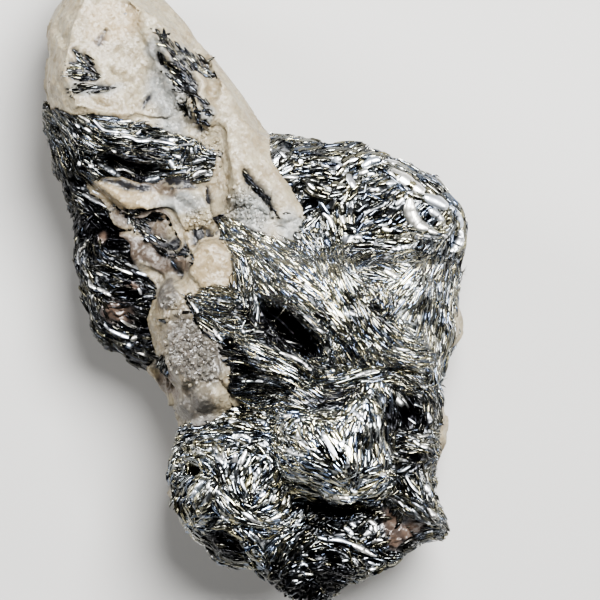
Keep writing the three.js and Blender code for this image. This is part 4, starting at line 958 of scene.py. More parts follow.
def core_of(name, mass):
    """The dark body under a mass's flakes, with the grain and the cover of its flakes on it."""
    node = "hematite_" + name
    seed = mass["seed"]
    mesh = bpy.data.meshes.new(name + "_core")
    work = merged_copy(node)
    work.to_mesh(mesh)
    work.free()
    core = even_body(name + "_core", mesh, 0.21 * MM, 8)
    mesh = core.data
    places, normals = mesh_points(mesh), mesh_normals(mesh)
    tree = neighbours_of(node)
    gaps = np.array([tree.find_nearest(p)[3] for p in places.tolist()])
    near = (1 - (gaps / MM - 0.4) / 1.2).clip(0, 1)
    inside, pit = hollow_depth(places, mass["hollows"])
    crust, _ = hollow_depth(places, [(*patch, 0) for patch in mass.get("earth", [])])
    # The brightness read from the strokes and the spots: the flakes' own tone with painted light and shade.
    level, lustre = grain(places, chart)
    lustre = with_painted_spots(places, lustre)
    folds, locks = combed_noise(places, chart, [(mass["fold"], seed), (0.62, seed + 3)])
    swell = np.abs(folds).clip(0, 1.7)
    # The share of the spots of painted light; there the ridges are made lower and the packets lean less.
    painted_light_share = with_painted_spots(places, np.zeros(len(places)))
    ridges = 0.36 * mass.get("relief", 1.0) * (1 - 0.65 * painted_light_share) * (swell - 0.9)
    relief = ridges + 0.3 * rough_noise(places, 3 * MM, seed + 5)
    sideways = (1 - np.abs(normals[:, 2])).clip(0, 1)
    rise = MM * (-SINK + 0.4 * sideways + relief) * (1 - near) + SWELL * MM * near
    drop = (pit + ledge_drop(places, mass["ledges"])) * (normals[:, 2] * 2).clip(0, 1)
    fill = trench_fill(places, normals) * (inside < 0.05) + hollow_depth(places, mass.get("mounds", []))[1]
    set_points(mesh, in_box(places + normals * rise[:, None] + UP * (fill - drop)[:, None], CORE_ROOM))
    places, normals = mesh_points(mesh), mesh_normals(mesh)
    rays = zip(places.tolist(), normals.tolist())
    shut = np.array([tree.ray_cast(place, way, FLAKE_REACH)[0] is not None for place, way in rays])
    cover = np.where(shut, 0.0, 1.0) * (0.75 + 0.9 * normals[:, 2]).clip(0.12, 1) * (0.45 + 0.55 * lustre)
    # The core's colour is painted: light on the ridges, and dark in the grooves between them as their
    # shade.
    crest = with_painted_spots(places, (swell / 0.55).clip(mass.get("groove_light", 0.0), 1))
    lustre = (mass["brightness_scale"] * lustre**1.5).clip(0, 1.3)
    face = facing_light(normals, (0.2 + 0.75 * lustre.clip(0, 1)) * (1.7 * normals[:, 2]).clip(0, 1))
    set_attribute(mesh, "face", "FLOAT_VECTOR", face)
    set_attribute(mesh, "flow", "FLOAT_VECTOR", free_edges(tangent(level, face), face, normals))
    set_attribute(mesh, "cover", "FLOAT", cover * (1 - 0.3 * inside) * (1 - crust) * (0.45 + 0.55 * crest))
    # In the hollows the flakes' shine and the core's colour are painted darker, as their shade.
    set_attribute(mesh, "lustre", "FLOAT", lustre * (1 - 0.4 * inside))
    set_attribute(mesh, "crest", "FLOAT", crest * lustre * (1 - 0.6 * inside))
    set_attribute(mesh, "earth", "FLOAT", crust)
    set_attribute(mesh, "lock", "FLOAT", locks * (1 - 0.75 * painted_light_share))
    return core


# %% [markdown]
# ## Flakes
# One flake is a thin, slightly dished blade that is pointed at both ends and thickest in the middle.
# It starts at its root, the long edge that it grew from. A few shapes are enough, because each flake
# has its own size and turn.

# %% Flake shapes
FLAKE_THICKNESS = 0.06
FLAKE_FACES = 16


def flake_shape(name, bow, dish, wave, blunt):
    """A blade one unit long and one unit wide, with its root along X."""
    rows = []
    for s in np.linspace(-0.5, 0.5, 5):
        full = math.cos(math.pi * s) ** blunt if abs(s) < 0.5 else 0
        middle = bow * (1 - 4 * s * s) + wave * math.sin(2 * math.pi * s)
        across = [0.5] if full == 0 else [0.5 - full / 2, 0.5, 0.5 + full / 2]
        rows.append([(s, t, middle - dish * (2 * t - 1) ** 2 * full) for t in across])
    work = bmesh.new()
    top = [[work.verts.new(p) for p in row] for row in rows]
    under = [list(row) for row in top]
    for row, verts in zip(rows, under):
        if len(row) == 3:
            verts[1] = work.verts.new((row[1][0], row[1][1], row[1][2] - FLAKE_THICKNESS))
    for layer, turned in ((top, False), (under, True)):
        for one, two in zip(layer, layer[1:]):
            if len(one) == 1:
                faces = [(one[0], two[0], two[1]), (one[0], two[1], two[2])]
            elif len(two) == 1:
                faces = [(one[0], two[0], one[1]), (one[1], two[0], one[2])]
            else:
                faces = [(one[i], two[i], two[i + 1], one[i + 1]) for i in (0, 1)]
            for face in faces:
                work.faces.new(face if turned else face[::-1])
    bmesh.ops.recalc_face_normals(work, faces=work.faces)
    mesh = bpy.data.meshes.new(name)
    work.to_mesh(mesh)
    work.free()
    set_attribute(mesh, "edge", "FLOAT", [v.co.y for v in mesh.vertices])
    for p in mesh.polygons:
        p.use_smooth = True
    return mesh


def flake_family(name, blunt, forms):
    """Makes a collection of flakes, from rows of bow, dish and wave."""
    family = bpy.data.collections.new(name)
    for i, form in enumerate(forms):
        shape = flake_shape(f"{name}_{i}", *form, blunt)
        family.objects.link(bpy.data.objects.new(shape.name, shape))
    print(name + ":", len(forms), "shapes of", len(shape.polygons), "faces")


flake_family("blades", 0.5, [
    (0.10, 0.11, 0.00), (0.18, 0.09, 0.04), (-0.06, 0.13, 0.05), (0.04, 0.08, -0.07), (0.25, 0.14, 0),
])
flake_family("plates", 0.3, [
    (0.12, 0.08, 0.10), (0.22, 0.04, -0.14), (-0.10, 0.12, 0.16), (0.02, 0.03, -0.18), (0.30, 0.10, 0.08),
])


# %% [markdown]
# ## Combing the flakes onto a mass
# Geometry Nodes scatter the flakes: points on the core, a turn for each point that lays the flake
# along the grain, and a lean that changes from packet to packet, because flakes grow in packets that
# catch the light together.

# %% Short words for building node trees
def node_of(tree, kind, **settings):
    made = tree.nodes.new(kind)
    for key, value in settings.items():
        setattr(made, key, value)
    return made


def feed(tree, socket, source):
    """Puts a number on a socket, or a link into it."""
    if isinstance(source, (int, float)):
        socket.default_value = source
    else:
        tree.links.new(source, socket)


def maths(tree, operation, a, b=0.0):
    made = node_of(tree, "ShaderNodeMath", operation=operation)
    feed(tree, made.inputs[0], a)
    feed(tree, made.inputs[1], b)
    return made.outputs[0]


def enabled(sockets, name):
    return next(s for s in sockets if s.name == name and s.enabled)


# %% [markdown]
# Every chance in the tree has its own salt, so a flake's length, width, turns and shine don't depend
# on each other. The tree keeps a tint and a shine on each flake. The shine is the painted light and
# shade of the mass times a chance, and a few flakes drawn at random keep some shine where that is
# dark. It ends by making the flakes real and giving them their finish, because copies that aren't
# real are left out of an export.

# %% The comb
def comb_tree():
    tree = bpy.data.node_groups.new("comb of flakes", "GeometryNodeTree")
    tree.is_modifier = True
    add = tree.interface.new_socket
    add("Geometry", in_out="OUTPUT", socket_type="NodeSocketGeometry")
    for name, kind in [
        ("Geometry", "Geometry"), ("Flakes", "Collection"), ("Per Square Metre", "Float"),
        ("Length", "Float"), ("Width", "Float"), ("Packet Lean", "Float"), ("Own Lean", "Float"),
        ("Seed", "Int"), ("Finish", "Material"),
    ]:
        add(name, in_out="INPUT", socket_type="NodeSocket" + kind)
    link = tree.links.new
    given = node_of(tree, "NodeGroupInput").outputs
    result = node_of(tree, "NodeGroupOutput").inputs

    def value(name, kind="FLOAT"):
        made = node_of(tree, "GeometryNodeInputNamedAttribute", data_type=kind)
        made.inputs["Name"].default_value = name
        return made.outputs["Attribute"]

    def chance(low, high, salt):
        made = node_of(tree, "FunctionNodeRandomValue", data_type="FLOAT")
        feed(tree, enabled(made.inputs, "Min"), low)
        feed(tree, enabled(made.inputs, "Max"), high)
        link(maths(tree, "ADD", given["Seed"], salt), made.inputs["Seed"])
        return enabled(made.outputs, "Value")

    scatter = node_of(tree, "GeometryNodeDistributePointsOnFaces", distribute_method="RANDOM")
    link(given["Geometry"], scatter.inputs["Mesh"])
    link(maths(tree, "MULTIPLY", given["Per Square Metre"], value("cover")), scatter.inputs["Density"])
    link(given["Seed"], scatter.inputs["Seed"])

    axes = node_of(tree, "FunctionNodeAxesToRotation", primary_axis="Z", secondary_axis="X")
    link(value("face", "FLOAT_VECTOR"), axes.inputs["Primary Axis"])
    link(value("flow", "FLOAT_VECTOR"), axes.inputs["Secondary Axis"])

    def own(salt, share):
        """A small turn of the flake's own."""
        whole = maths(tree, "MULTIPLY", chance(-1.0, 1.0, salt), given["Own Lean"])
        return maths(tree, "MULTIPLY", whole, share)

    def stored(geometry, name, number):
        """The geometry with a number kept on each flake under this name."""
        made = node_of(tree, "GeometryNodeStoreNamedAttribute", data_type="FLOAT", domain="INSTANCE")
        made.inputs["Name"].default_value = name
        link(geometry, made.inputs["Geometry"])
        link(number, enabled(made.inputs, "Value"))
        return made.outputs[0]

    shared = maths(tree, "MULTIPLY", value("lock"), given["Packet Lean"])
    turn = node_of(tree, "ShaderNodeCombineXYZ")
    link(maths(tree, "ADD", shared, own(1, 1.0)), turn.inputs["X"])
    link(own(2, 0.75), turn.inputs["Y"])
    link(own(3, 0.5), turn.inputs["Z"])
    own_turn = node_of(tree, "FunctionNodeEulerToRotation")
    link(turn.outputs[0], own_turn.inputs[0])
    rotate = node_of(tree, "FunctionNodeRotateRotation", rotation_space="LOCAL")
    link(axes.outputs[0], rotate.inputs["Rotation"])
    link(own_turn.outputs[0], rotate.inputs["Rotate By"])

    size = node_of(tree, "ShaderNodeCombineXYZ")
    link(maths(tree, "MULTIPLY", given["Length"], chance(0.55, 1.35, 4)), size.inputs["X"])
    width = maths(tree, "MULTIPLY", given["Width"], chance(0.6, 1.3, 5))
    link(width, size.inputs["Y"])
    link(width, size.inputs["Z"])
    shapes = node_of(tree, "GeometryNodeCollectionInfo")
    shapes.inputs["Separate Children"].default_value = True
    shapes.inputs["Reset Children"].default_value = True
    link(given["Flakes"], shapes.inputs["Collection"])
    place = node_of(tree, "GeometryNodeInstanceOnPoints")
    place.inputs["Pick Instance"].default_value = True
    link(scatter.outputs["Points"], place.inputs["Points"])
    link(shapes.outputs[0], place.inputs["Instance"])
    link(rotate.outputs[0], place.inputs["Rotation"])
    link(size.outputs[0], place.inputs["Scale"])

    tinted = stored(place.outputs[0], "tint", chance(0.0, 1.0, 6))
    lustre = maths(tree, "MULTIPLY", value("lustre"), chance(0.25, 1.2, 7))
    sparkle = maths(tree, "POWER", chance(0.0, 0.96, 8), 16.0)
    real = node_of(tree, "GeometryNodeRealizeInstances")
    link(stored(tinted, "shine", maths(tree, "MAXIMUM", lustre, sparkle)), real.inputs[0])
    finish = node_of(tree, "GeometryNodeSetMaterial")
    link(real.outputs[0], finish.inputs["Geometry"])
    link(given["Finish"], finish.inputs["Material"])
    link(finish.outputs[0], result["Geometry"])
    return tree


comb = comb_tree()


def grow(host, name, tree, settings):
    """Runs a node tree on a copy of host's mesh and returns the result as a plain object."""
    body = bpy.data.objects.new(name, host.data.copy())
    bpy.context.collection.objects.link(body)
    modifier = body.modifiers.new("made", "NODES")
    modifier.node_group = tree
    named = {s.name: s.identifier for s in tree.interface.items_tree if s.in_out == "INPUT"}
    for key, value in settings.items():
        modifier[named[key]] = value
    return settled(body)


def comb_on(host, name, flake, seed, finish):
    """Combs flakes of one size and habit onto a body that has flow, cover and a brightness with painted
    light and shade in it.
    """
    return grow(host, name, comb, {
        "Flakes": bpy.data.collections[flake.get("family", "blades")],
        "Per Square Metre": flake["crowd"] / MM**2,
        "Length": flake["length"] * MM,
        "Width": flake["width"] * MM,
        "Packet Lean": math.radians(flake["packets"]),
        "Own Lean": math.radians(flake["own"]),
        "Seed": seed + 1,
        "Finish": finish,
    })


# %% [markdown]
# A straight flake near the edge of a rounded mass sticks out into the air like a hair. Real flakes
# grew against each other and follow the mass, so a flake that stands too far off is bent down to it.

# %% Tuck the flakes in
PROUD = 0.45 * MM


def tucked(coat, core):
    """Bends a coat's flakes down to the core wherever they stand too far off it."""
    surface = surface_of(core)
    places = mesh_points(coat.data)
    bent = 0
    for i, place in enumerate(places):
        near, normal, _, apart = surface.find_nearest(place)
        away = Vector(place) - near
        if apart > PROUD and away.dot(normal) > 0:
            places[i] = near + away * (PROUD / apart)
            bent += 1
    set_points(coat.data, places)
    return bent / len(places)


# %% [markdown]
# ## Finishes of the hematite
# Specular hematite is a grey metal to the eye, with steel blue and straw tints. One metal over the
# whole mass would be too even, so the flakes read the tint and the shine that the comb stored on them,
# and the shine holds painted light and shade. They get darker towards their roots, which is painted
# shade. The core is a grainy metal, dull brown where it has crust, and painted near black in its
# grooves and hollows as their shade. Its grain is a node group that turns the normal a little on each
# small cell, and the quartz uses it too.

# %% Finishes
def principled(name):
    material = bpy.data.materials.new(name)
    material.use_nodes = True
    nodes = material.node_tree.nodes
    return material, nodes, material.node_tree.links.new, nodes["Principled BSDF"].inputs


def attribute(nodes, name):
    made = nodes.new("ShaderNodeAttribute")
    made.attribute_name = name
    return made.outputs["Fac"]


def colour_ramp(nodes, stops):
    made = nodes.new("ShaderNodeValToRGB")
    elements = made.color_ramp.elements
    elements.remove(elements[1])
    elements[0].position, elements[0].color = stops[0][0], (*stops[0][1], 1)
    for where, colour in stops[1:]:
        elements.new(where).color = (*colour, 1)
    return made


def micro_facets():
    """A shader node group: normals turned a little, and a little differently on each small grain."""
    group = bpy.data.node_groups.new("micro facets", "ShaderNodeTree")
    add = group.interface.new_socket
    for name, value in (("Grains per Metre", 3000.0), ("Tilt", 0.5)):
        add(name, in_out="INPUT", socket_type="NodeSocketFloat").default_value = value
    add("Normal", in_out="OUTPUT", socket_type="NodeSocketVector")
    add("Shade", in_out="OUTPUT", socket_type="NodeSocketFloat")
    link = group.links.new
    given = node_of(group, "NodeGroupInput").outputs
    result = node_of(group, "NodeGroupOutput").inputs
    place = node_of(group, "ShaderNodeTexCoord").outputs["Object"]
    grains = node_of(group, "ShaderNodeTexVoronoi", voronoi_dimensions="3D", feature="F1")
    link(place, grains.inputs["Vector"])
    link(given["Grains per Metre"], grains.inputs["Scale"])
    centred = node_of(group, "ShaderNodeVectorMath", operation="SUBTRACT")
    link(grains.outputs["Color"], centred.inputs[0])
    centred.inputs[1].default_value = (0.5, 0.5, 0.5)
    tilt = node_of(group, "ShaderNodeVectorMath", operation="SCALE")
    link(centred.outputs[0], tilt.inputs[0])
    link(given["Tilt"], tilt.inputs["Scale"])
    total = node_of(group, "ShaderNodeVectorMath", operation="ADD")
    link(node_of(group, "ShaderNodeNewGeometry").outputs["Normal"], total.inputs[0])
    link(tilt.outputs[0], total.inputs[1])
    even = node_of(group, "ShaderNodeVectorMath", operation="NORMALIZE")
    link(total.outputs[0], even.inputs[0])
    link(even.outputs[0], result["Normal"])
    shade = node_of(group, "ShaderNodeSeparateXYZ")
    link(grains.outputs["Color"], shade.inputs[0])
    link(shade.outputs["X"], result["Shade"])
    return group


facet_group = micro_facets()


def facets_in(nodes, per_metre, tilt):
    made = nodes.new("ShaderNodeGroup")
    made.node_tree = facet_group
    made.inputs["Grains per Metre"].default_value = per_metre
    made.inputs["Tilt"].default_value = tilt
    return made.outputs


def mix_in(nodes, link, factor, first, second):
    """A colour between first and second; each of the three is a value or a link."""
    made = nodes.new("ShaderNodeMix")
    made.data_type = "RGBA"
    for name, source in (("Factor", factor), ("A", first), ("B", second)):
        if isinstance(source, tuple):
            made.inputs[name].default_value = (*source, 1)
        else:
            link(source, made.inputs[name])
    return made.outputs["Result"]


# The colour of the lowest shine: on flakes partly painted shade, on rims a darker tone.
DARK_TONE_AND_SHADE = (0.018, 0.018, 0.02)


def flake_finish():
    material, nodes, link, shader = principled("specular_hematite")
    ramp = colour_ramp(nodes, [
        (0, (0.28, 0.37, 0.56)), (0.25, (0.58, 0.63, 0.66)),
        (0.6, (0.83, 0.83, 0.73)), (1, (0.94, 0.86, 0.54)),
    ])
    link(attribute(nodes, "tint"), ramp.inputs["Fac"])
    # Painted shade: each flake is darker towards its root, where it sinks among its neighbours.
    root = nodes.new("ShaderNodeMapRange")
    root.inputs["From Min"].default_value = 0.1
    root.inputs["From Max"].default_value = 0.72
    root.inputs["To Min"].default_value = 0.25
    link(attribute(nodes, "edge"), root.inputs["Value"])
    bright = nodes.new("ShaderNodeMath")
    bright.operation = "MULTIPLY"
    link(attribute(nodes, "shine"), bright.inputs[0])
    link(root.outputs["Result"], bright.inputs[1])
    link(mix_in(nodes, link, bright.outputs[0], DARK_TONE_AND_SHADE, ramp.outputs["Color"]), shader["Base Color"])
    shader["Metallic"].default_value = 1.0
    shader["Roughness"].default_value = 0.25
    return material


def rim_finish():
    material, nodes, link, shader = principled("polished_rim")
    ramp = colour_ramp(nodes, [
        (0, (0.72, 0.80, 0.92)), (0.5, (0.94, 0.94, 0.94)), (1, (0.96, 0.92, 0.80)),
    ])
    link(attribute(nodes, "tint"), ramp.inputs["Fac"])
    shine = attribute(nodes, "shine")
    link(mix_in(nodes, link, shine, DARK_TONE_AND_SHADE, ramp.outputs["Color"]), shader["Base Color"])
    shader["Metallic"].default_value = 1.0
    shader["Roughness"].default_value = 0.36
    return material


def core_finish():
    material, nodes, link, shader = principled("hematite_core")
    grains = facets_in(nodes, 3800.0, 0.34)
    ramp = colour_ramp(nodes, [
        (0.1, (0.42, 0.44, 0.47)), (0.6, (0.62, 0.65, 0.68)), (1, (0.86, 0.88, 0.90)),
    ])
    link(grains["Shade"], ramp.inputs["Fac"])
    # Painted light and shade: near black where the crest share is low, in grooves and hollows.
    groove_light = mix_in(nodes, link, attribute(nodes, "crest"), (0.012, 0.012, 0.014), ramp.outputs["Color"])
    link(mix_in(nodes, link, attribute(nodes, "earth"), groove_light, (0.068, 0.047, 0.036)), shader["Base Color"])
    link(grains["Normal"], shader["Normal"])
    bare = nodes.new("ShaderNodeMath")
    bare.operation = "SUBTRACT"
    bare.inputs[0].default_value = 1.0
    link(attribute(nodes, "earth"), bare.inputs[1])
    link(bare.outputs[0], shader["Metallic"])
    shader["Roughness"].default_value = 0.3
    return material


flake_material = flake_finish()
core_material = core_finish()
rim_material = rim_finish()

# %% [markdown]
# ## Rims
# Here and there a big plate stands at the edge of a layer and its polished rim catches the light as
# one long line. A rim is a bar with an arched top that lies on the core along a smooth curve, leans
# to the open side and is pointed at both ends.

# %% Rims
LIGHT_SIDE = np.array([math.cos(math.radians(57)), math.sin(math.radians(57))])
RIM_STEP = 0.12
RIM_ACROSS = np.linspace(-1, 1, 7)
RIM_LIFT, RIM_ROOT = 0.22 * MM, 0.5 * MM  # how far a rim stands above the core, and reaches into it


def smooth_line(points, step):
    """Places at about even steps on a smooth curve through map points, in millimetres."""
    ends = [points[0]] + list(points) + [points[-1]]
    found = []
    for a, b, c, d in zip(*(np.array(ends[i:len(ends) - 3 + i], float) for i in range(4))):
        for t in np.arange(0, 1, step / max(np.hypot(*(c - b)), step)):
            found.append(0.5 * (
                2 * b + (c - a) * t + (2 * a - 5 * b + 4 * c - d) * t**2 + (3 * b - a - 3 * c + d) * t**3
            ))
    return np.array(found + [np.array(points[-1], float)])


def rims_on(core, name, rims, seed, shine=(0.5, 1.0)):
    """Bars with arched tops on a core, one for each rim, as one object."""
    surface = surface_of(core)
    corners, faces, tints, shines = [], [], [], []
    draw = np.random.default_rng(seed)
    for width, points in rims:
        path = smooth_line(points, RIM_STEP)
        level = on_map(path)
        heights = []
        for spot in level.tolist():
            hit = surface.ray_cast((*spot, 0.04), (0, 0, -1))[0]
            heights.append(hit.z if hit else np.nan)
        heights = np.array(heights)
        if np.isnan(heights).all():
            print("no ground under a rim of", name, points)
            continue
        known = ~np.isnan(heights)
        heights = np.interp(np.arange(len(heights)), np.flatnonzero(known), heights[known])
        padded = np.pad(heights, 3, mode="edge")
        shifted = [padded[i:i + len(heights)] for i in range(7)]
        heights = np.max(shifted, axis=0) * 0.5 + np.mean(shifted, axis=0) * 0.5
        run = np.gradient(level, axis=0)
        run /= np.linalg.norm(run, axis=1, keepdims=True) + 1e-12
        across = np.stack([-run[:, 1], run[:, 0]], 1)
        across *= np.sign((across * LIGHT_SIDE).sum(1, keepdims=True) + 1e-9)
        facing = (across * LIGHT_SIDE).sum(1)
        share = np.linspace(0, 1, len(level))
        ragged = 1 + 0.3 * smooth_noise(np.column_stack([path, share * 0 + seed]) * MM, 0.7 * MM, seed)
        half = width / 2 * MM * (np.sin(np.pi * (0.04 + 0.92 * share)) ** 0.55) * ragged
        first = len(corners)
        for k in range(len(level)):
            for t in RIM_ACROSS:
                side = level[k] + across[k] * t * half[k]
                lift = RIM_LIFT + half[k] * (0.42 * (1 - t * t) - 0.34 * t * facing[k])
                corners.append((*side, heights[k] + lift))
            for t in (1, -1):
                corners.append((*(level[k] + across[k] * t * half[k] * 0.8), heights[k] - RIM_ROOT))
        ring = len(RIM_ACROSS) + 2
        for k in range(len(level) - 1):
            for i in range(ring):
                one, two = first + k * ring + i, first + k * ring + (i + 1) % ring
                faces.append((one, two, two + ring, one + ring))
        faces.append(tuple(first + i for i in range(ring))[::-1])
        faces.append(tuple(first + (len(level) - 1) * ring + i for i in range(ring)))
        tints += [draw.uniform(0.1, 0.8)] * (len(corners) - first)
        shines += [draw.uniform(*shine)] * (len(corners) - first)
    mesh = bpy.data.meshes.new(name)
    mesh.from_pydata([tuple(c) for c in corners], [], faces)
    work = bmesh.new()
    work.from_mesh(mesh)
    bmesh.ops.recalc_face_normals(work, faces=work.faces)
    for face in work.faces:
        face.smooth = True
    work.to_mesh(mesh)
    work.free()
    set_attribute(mesh, "tint", "FLOAT", tints)
    set_attribute(mesh, "shine", "FLOAT", shines)
    body = bpy.data.objects.new(name, mesh)
    bpy.context.collection.objects.link(body)
    mesh.materials.append(rim_material)
    return body


# %% [markdown]
# ## Every mass
# All masses are made the same way and differ only in their lists. A mass becomes a core, one or two
# coats of flakes and its rims, and together these stand for its solid in the frame.

# %% Comb every mass
for name, mass in masses.items():
    core = core_of(name, mass)
    core.data.materials.append(core_material)
    coats = [comb_on(core, name + "_flakes", mass["flake"], mass["seed"], flake_material)]
    if "needles" in mass:
        coats.append(comb_on(core, name + "_needles", mass["needles"], mass["seed"] + 4, flake_material))
    bent = [tucked(coat, core) for coat in coats]
    rims = rims_on(core, name + "_rims", mass["rims"], mass["seed"], mass.get("rim_shine", (0.5, 1.0)))
    for piece in (core, *coats, rims):
        set_points(piece.data, in_box(mesh_points(piece.data)))
        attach(piece, "root")
        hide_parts("hematite_" + name)
    counts = [len(coat.data.polygons) // FLAKE_FACES for coat in coats]
    print(name + ": core", len(core.data.polygons), "faces, flakes", *counts,
          "bent", *(round(share, 3) for share in bent))

# %% [markdown]
# ## The quartz
# The quartz is one milky body. It has broken facets, sugary patches and thin dark veins; the black
# lines under the band and at the foot of a step are painted shade. The frame's small seam solid lies
# in it, so both are joined here and the seam becomes a group of veins.

# %% Places on the quartz
# The last two rows, under the band, and the two rows from (20.6, 42.8) down to (23.8, 37.9), at the foot of
# a step, are black lines of painted shade.
veins_and_shade_lines = [
    (0.55, -45, [(11.7, 57), (12, 56.4), (12.6, 55.8), (13.2, 55.3), (13.8, 55), (14.3, 54.7)]),
    (0.95, -50, [(13.4, 54.9), (13.9, 54), (14.3, 53.3), (14.8, 52.7), (15.3, 52)]),
    (0.75, -48, [(14.9, 55), (15.6, 54.4), (16.2, 53.8), (16.6, 53.2), (16.9, 52.6)]),
    (0.35, -60, [(17.1, 53.4), (17.5, 52.6)]),
    (0.45, -75, [(11.6, 54.4), (11.9, 53.7), (12.2, 53.1)]),
    (0.95, -35, [(12.5, 53), (13.2, 52.8), (14, 52.3), (14.8, 51.7), (15.4, 51), (15.9, 50.3)]),
    (0.50, -40, [(12.8, 52), (13.6, 51.5), (14.3, 50.9), (14.6, 50.2)]),
    (0.62, -50, [(15.8, 50.2), (16.4, 49.6), (16.8, 49), (17, 48.2)]),
    (0.40, -70, [(15.3, 50.2), (15.4, 49.6)]),
    (0.55, -75, [(14.4, 49.6), (14.6, 49), (14.8, 48.4)]),
    (0.36, -70, [(15.4, 49.2), (15.8, 48.6), (15.8, 47.8)]),
    (0.36, 70, [(16.4, 47.6), (16.1, 47), (15.6, 46.6)]),
    (0.60, -45, [(3.4, 55), (4, 54.4), (4.6, 53.7), (5.2, 53), (5.8, 52.3)]),
    (0.80, 0, [(3, 52.8), (3.8, 52.5), (4.6, 52.4), (5.6, 52.2)]),
    (0.55, -10, [(3.2, 53.8), (4, 53.4), (4.8, 53)]),
    (0.40, 5, [(3.2, 51.1), (4.6, 51), (6, 51.1), (7.3, 51.3)]),
    (0.28, 60, [(6.7, 57), (6.3, 56.3), (5.8, 55.4)]),
    (0.60, -50, [(20.6, 42.8), (21.2, 42), (22, 41), (22.6, 40.3), (23.2, 39.6)]),
    (0.35, -75, [(23.2, 39.6), (23.4, 38.7), (23.8, 37.9)]),
    (0.22, None, [(16.9, 41.3), (17.1, 40.4), (17.4, 39.5), (17.6, 38.6), (18.1, 37.7)]),
    (0.24, None, [(14.8, 35.8), (15.6, 36.5), (16.6, 36.6), (18.2, 36.9)]),
    (0.50, -38, [(18.2, 38.2), (19.2, 37.4), (20.4, 36.6), (21.8, 35.9)]),
    (0.24, None, [(19.7, 35), (19.8, 33.2), (19.7, 31.4)]),
    (0.95, -40, [(17.9, 38), (20, 36.8), (22.5, 35.6), (25.2, 34.6), (28, 33.9)]),
    (0.45, None, [(9.4, 37.8), (10.6, 37.1), (12, 36.4), (13.4, 35.6), (14.6, 34.7), (15, 33.8)]),
    (0.50, None, [(8.6, 38.7), (10, 38.3), (11.8, 38.3)]),
    (0.36, -36, [
        (7, 39.3), (8, 38.6), (9.2, 37.9), (10.4, 37), (11.6, 36.4), (12.8, 35.8), (13.8, 35.1),
        (14.6, 34.4), (14.9, 33.8),
    ]),
    (0.50, -38, [(9, 38.2), (10.4, 38), (11.8, 38.1)]),
    (0.26, None, [(12.8, 34.4), (13.4, 33.4), (14, 32.4)]),
    (0.50, -50, [(14.9, 30.4), (15.6, 29.2), (16.2, 28), (17, 27), (17.8, 26.2), (18.6, 25.4)]),
    (0.45, 60, [(11.6, 24.2), (12.1, 23.2), (12.5, 22.4)]),
    (0.30, -50, [(11, 50.4), (10.6, 49.8), (10.5, 49.2)]),
    (0.26, 15, [(15.2, 43.4), (16.2, 43.8), (17.2, 44.4), (17.9, 44.4)]),
    (0.26, 20, [(12.8, 41.3), (13.8, 41.6), (15, 41.4)]),
    (0.50, None, [(5.2, 42.4), (7, 41.9), (8.6, 41.6), (10, 41.2), (11.2, 41.6)]),
    (0.42, None, [(11.2, 41.6), (12.4, 42.1), (14, 42.1), (15.8, 41.6)]),
]
sugar_patches = [
    (15, 25.2, 2.6, 4.4, 20), (20.8, 39.2, 2.6, 2.6, -40), (15.6, 38, 1.6, 1.4, 0),
    (13.4, 29, 1.4, 1.6, 0), (16.6, 45.4, 1, 1.4, 0), (14, 49.4, 1.2, 1.2, 0),
]
warm_patches = [
    (9, 40.6, 4, 1.8, -12), (17.4, 33.2, 2.8, 3.2, 0), (10.4, 34.8, 3.6, 1.8, -20),
    (7.2, 58, 3.4, 2.4, 0), (17.6, 56, 1, 5, 40), (35.6, 7, 2, 2.4, 0),
]
grey_patches = [
    (15, 25, 3.2, 5, 18), (12.6, 30.6, 1.6, 2, 0), (15.6, 19, 3, 2.6, 0),
    (10.8, 34.6, 4.2, 2.2, -20), (16.6, 23.6, 2.6, 3.4, 0),
]
cool_patches = [
    (12.6, 50.6, 1.9, 4.6, 12), (13.2, 46.8, 1.9, 1.8, 0), (11.6, 54.8, 1.2, 2, 0),
    (14.3, 54, 1.6, 1.8, 0), (16.6, 48.2, 1, 1.4, 0), (25.4, 37, 2, 2.4, 40),
    (21.2, 38.8, 2.8, 3, 0), (5.4, 51.2, 3.2, 0.8, 0), (14, 39.6, 3, 1.4, 0),
]
brown_patches = [
    (10.2, 38, 2.6, 0.9, -8), (12.8, 33.6, 2.2, 1, -20), (12.4, 34, 2.8, 1.6, -20),
    (9.4, 34.8, 1.6, 1.3, -20), (12.2, 41, 1.6, 0.6, -10), (8, 36.4, 1.2, 0.8, 0),
    (12.6, 21.4, 0.9, 1.8, 20), (6.2, 56, 0.6, 1.2, -35), (14.4, 41.4, 1.6, 0.5, 0),
    (11.6, 37, 1.4, 1, 0), (8.2, 38.2, 1.4, 0.7, -15), (11.4, 41.5, 1.4, 0.7, 0),
]
quartz_tints = {"grey": grey_patches, "cool": cool_patches, "warm": warm_patches, "brown": brown_patches}
quartz_steps = [
    (1, 2.6, [(20.4, 43.4), (21.3, 41.7), (22.4, 40.4), (23.4, 39.4), (23.8, 38)]),
    (0.7, 0.9, [(12.4, 41.4), (13.6, 40.3), (14.8, 39.4), (16.2, 38.8)]),
    (0.35, 1.6, [(5.6, 41.4), (6.6, 40.6), (8, 39.6), (9.6, 39), (11.4, 38.4), (13.4, 37.2)]),
    (0.6, 1, [(8.8, 49.4), (10.4, 50.8), (11.2, 52.6), (11.4, 54.4)][::-1]),
    (0.8, 1, [(14.2, 36), (15.4, 36.7), (16.8, 36.6), (18.4, 37.2)][::-1]),
    (0.5, 0.8, [(16.4, 45.6), (17.2, 43.6), (17, 41.8)]),
]


def patch_share(places, patches):
    """How far inside any of the patches a place is, from 0 to 1, with a ragged rim."""
    ragged = places + 0.5 * MM * smooth_noise(places, 1.2 * MM, 21)[:, None]
    return hollow_depth(ragged, [(*patch, 1.0) for patch in patches])[0]


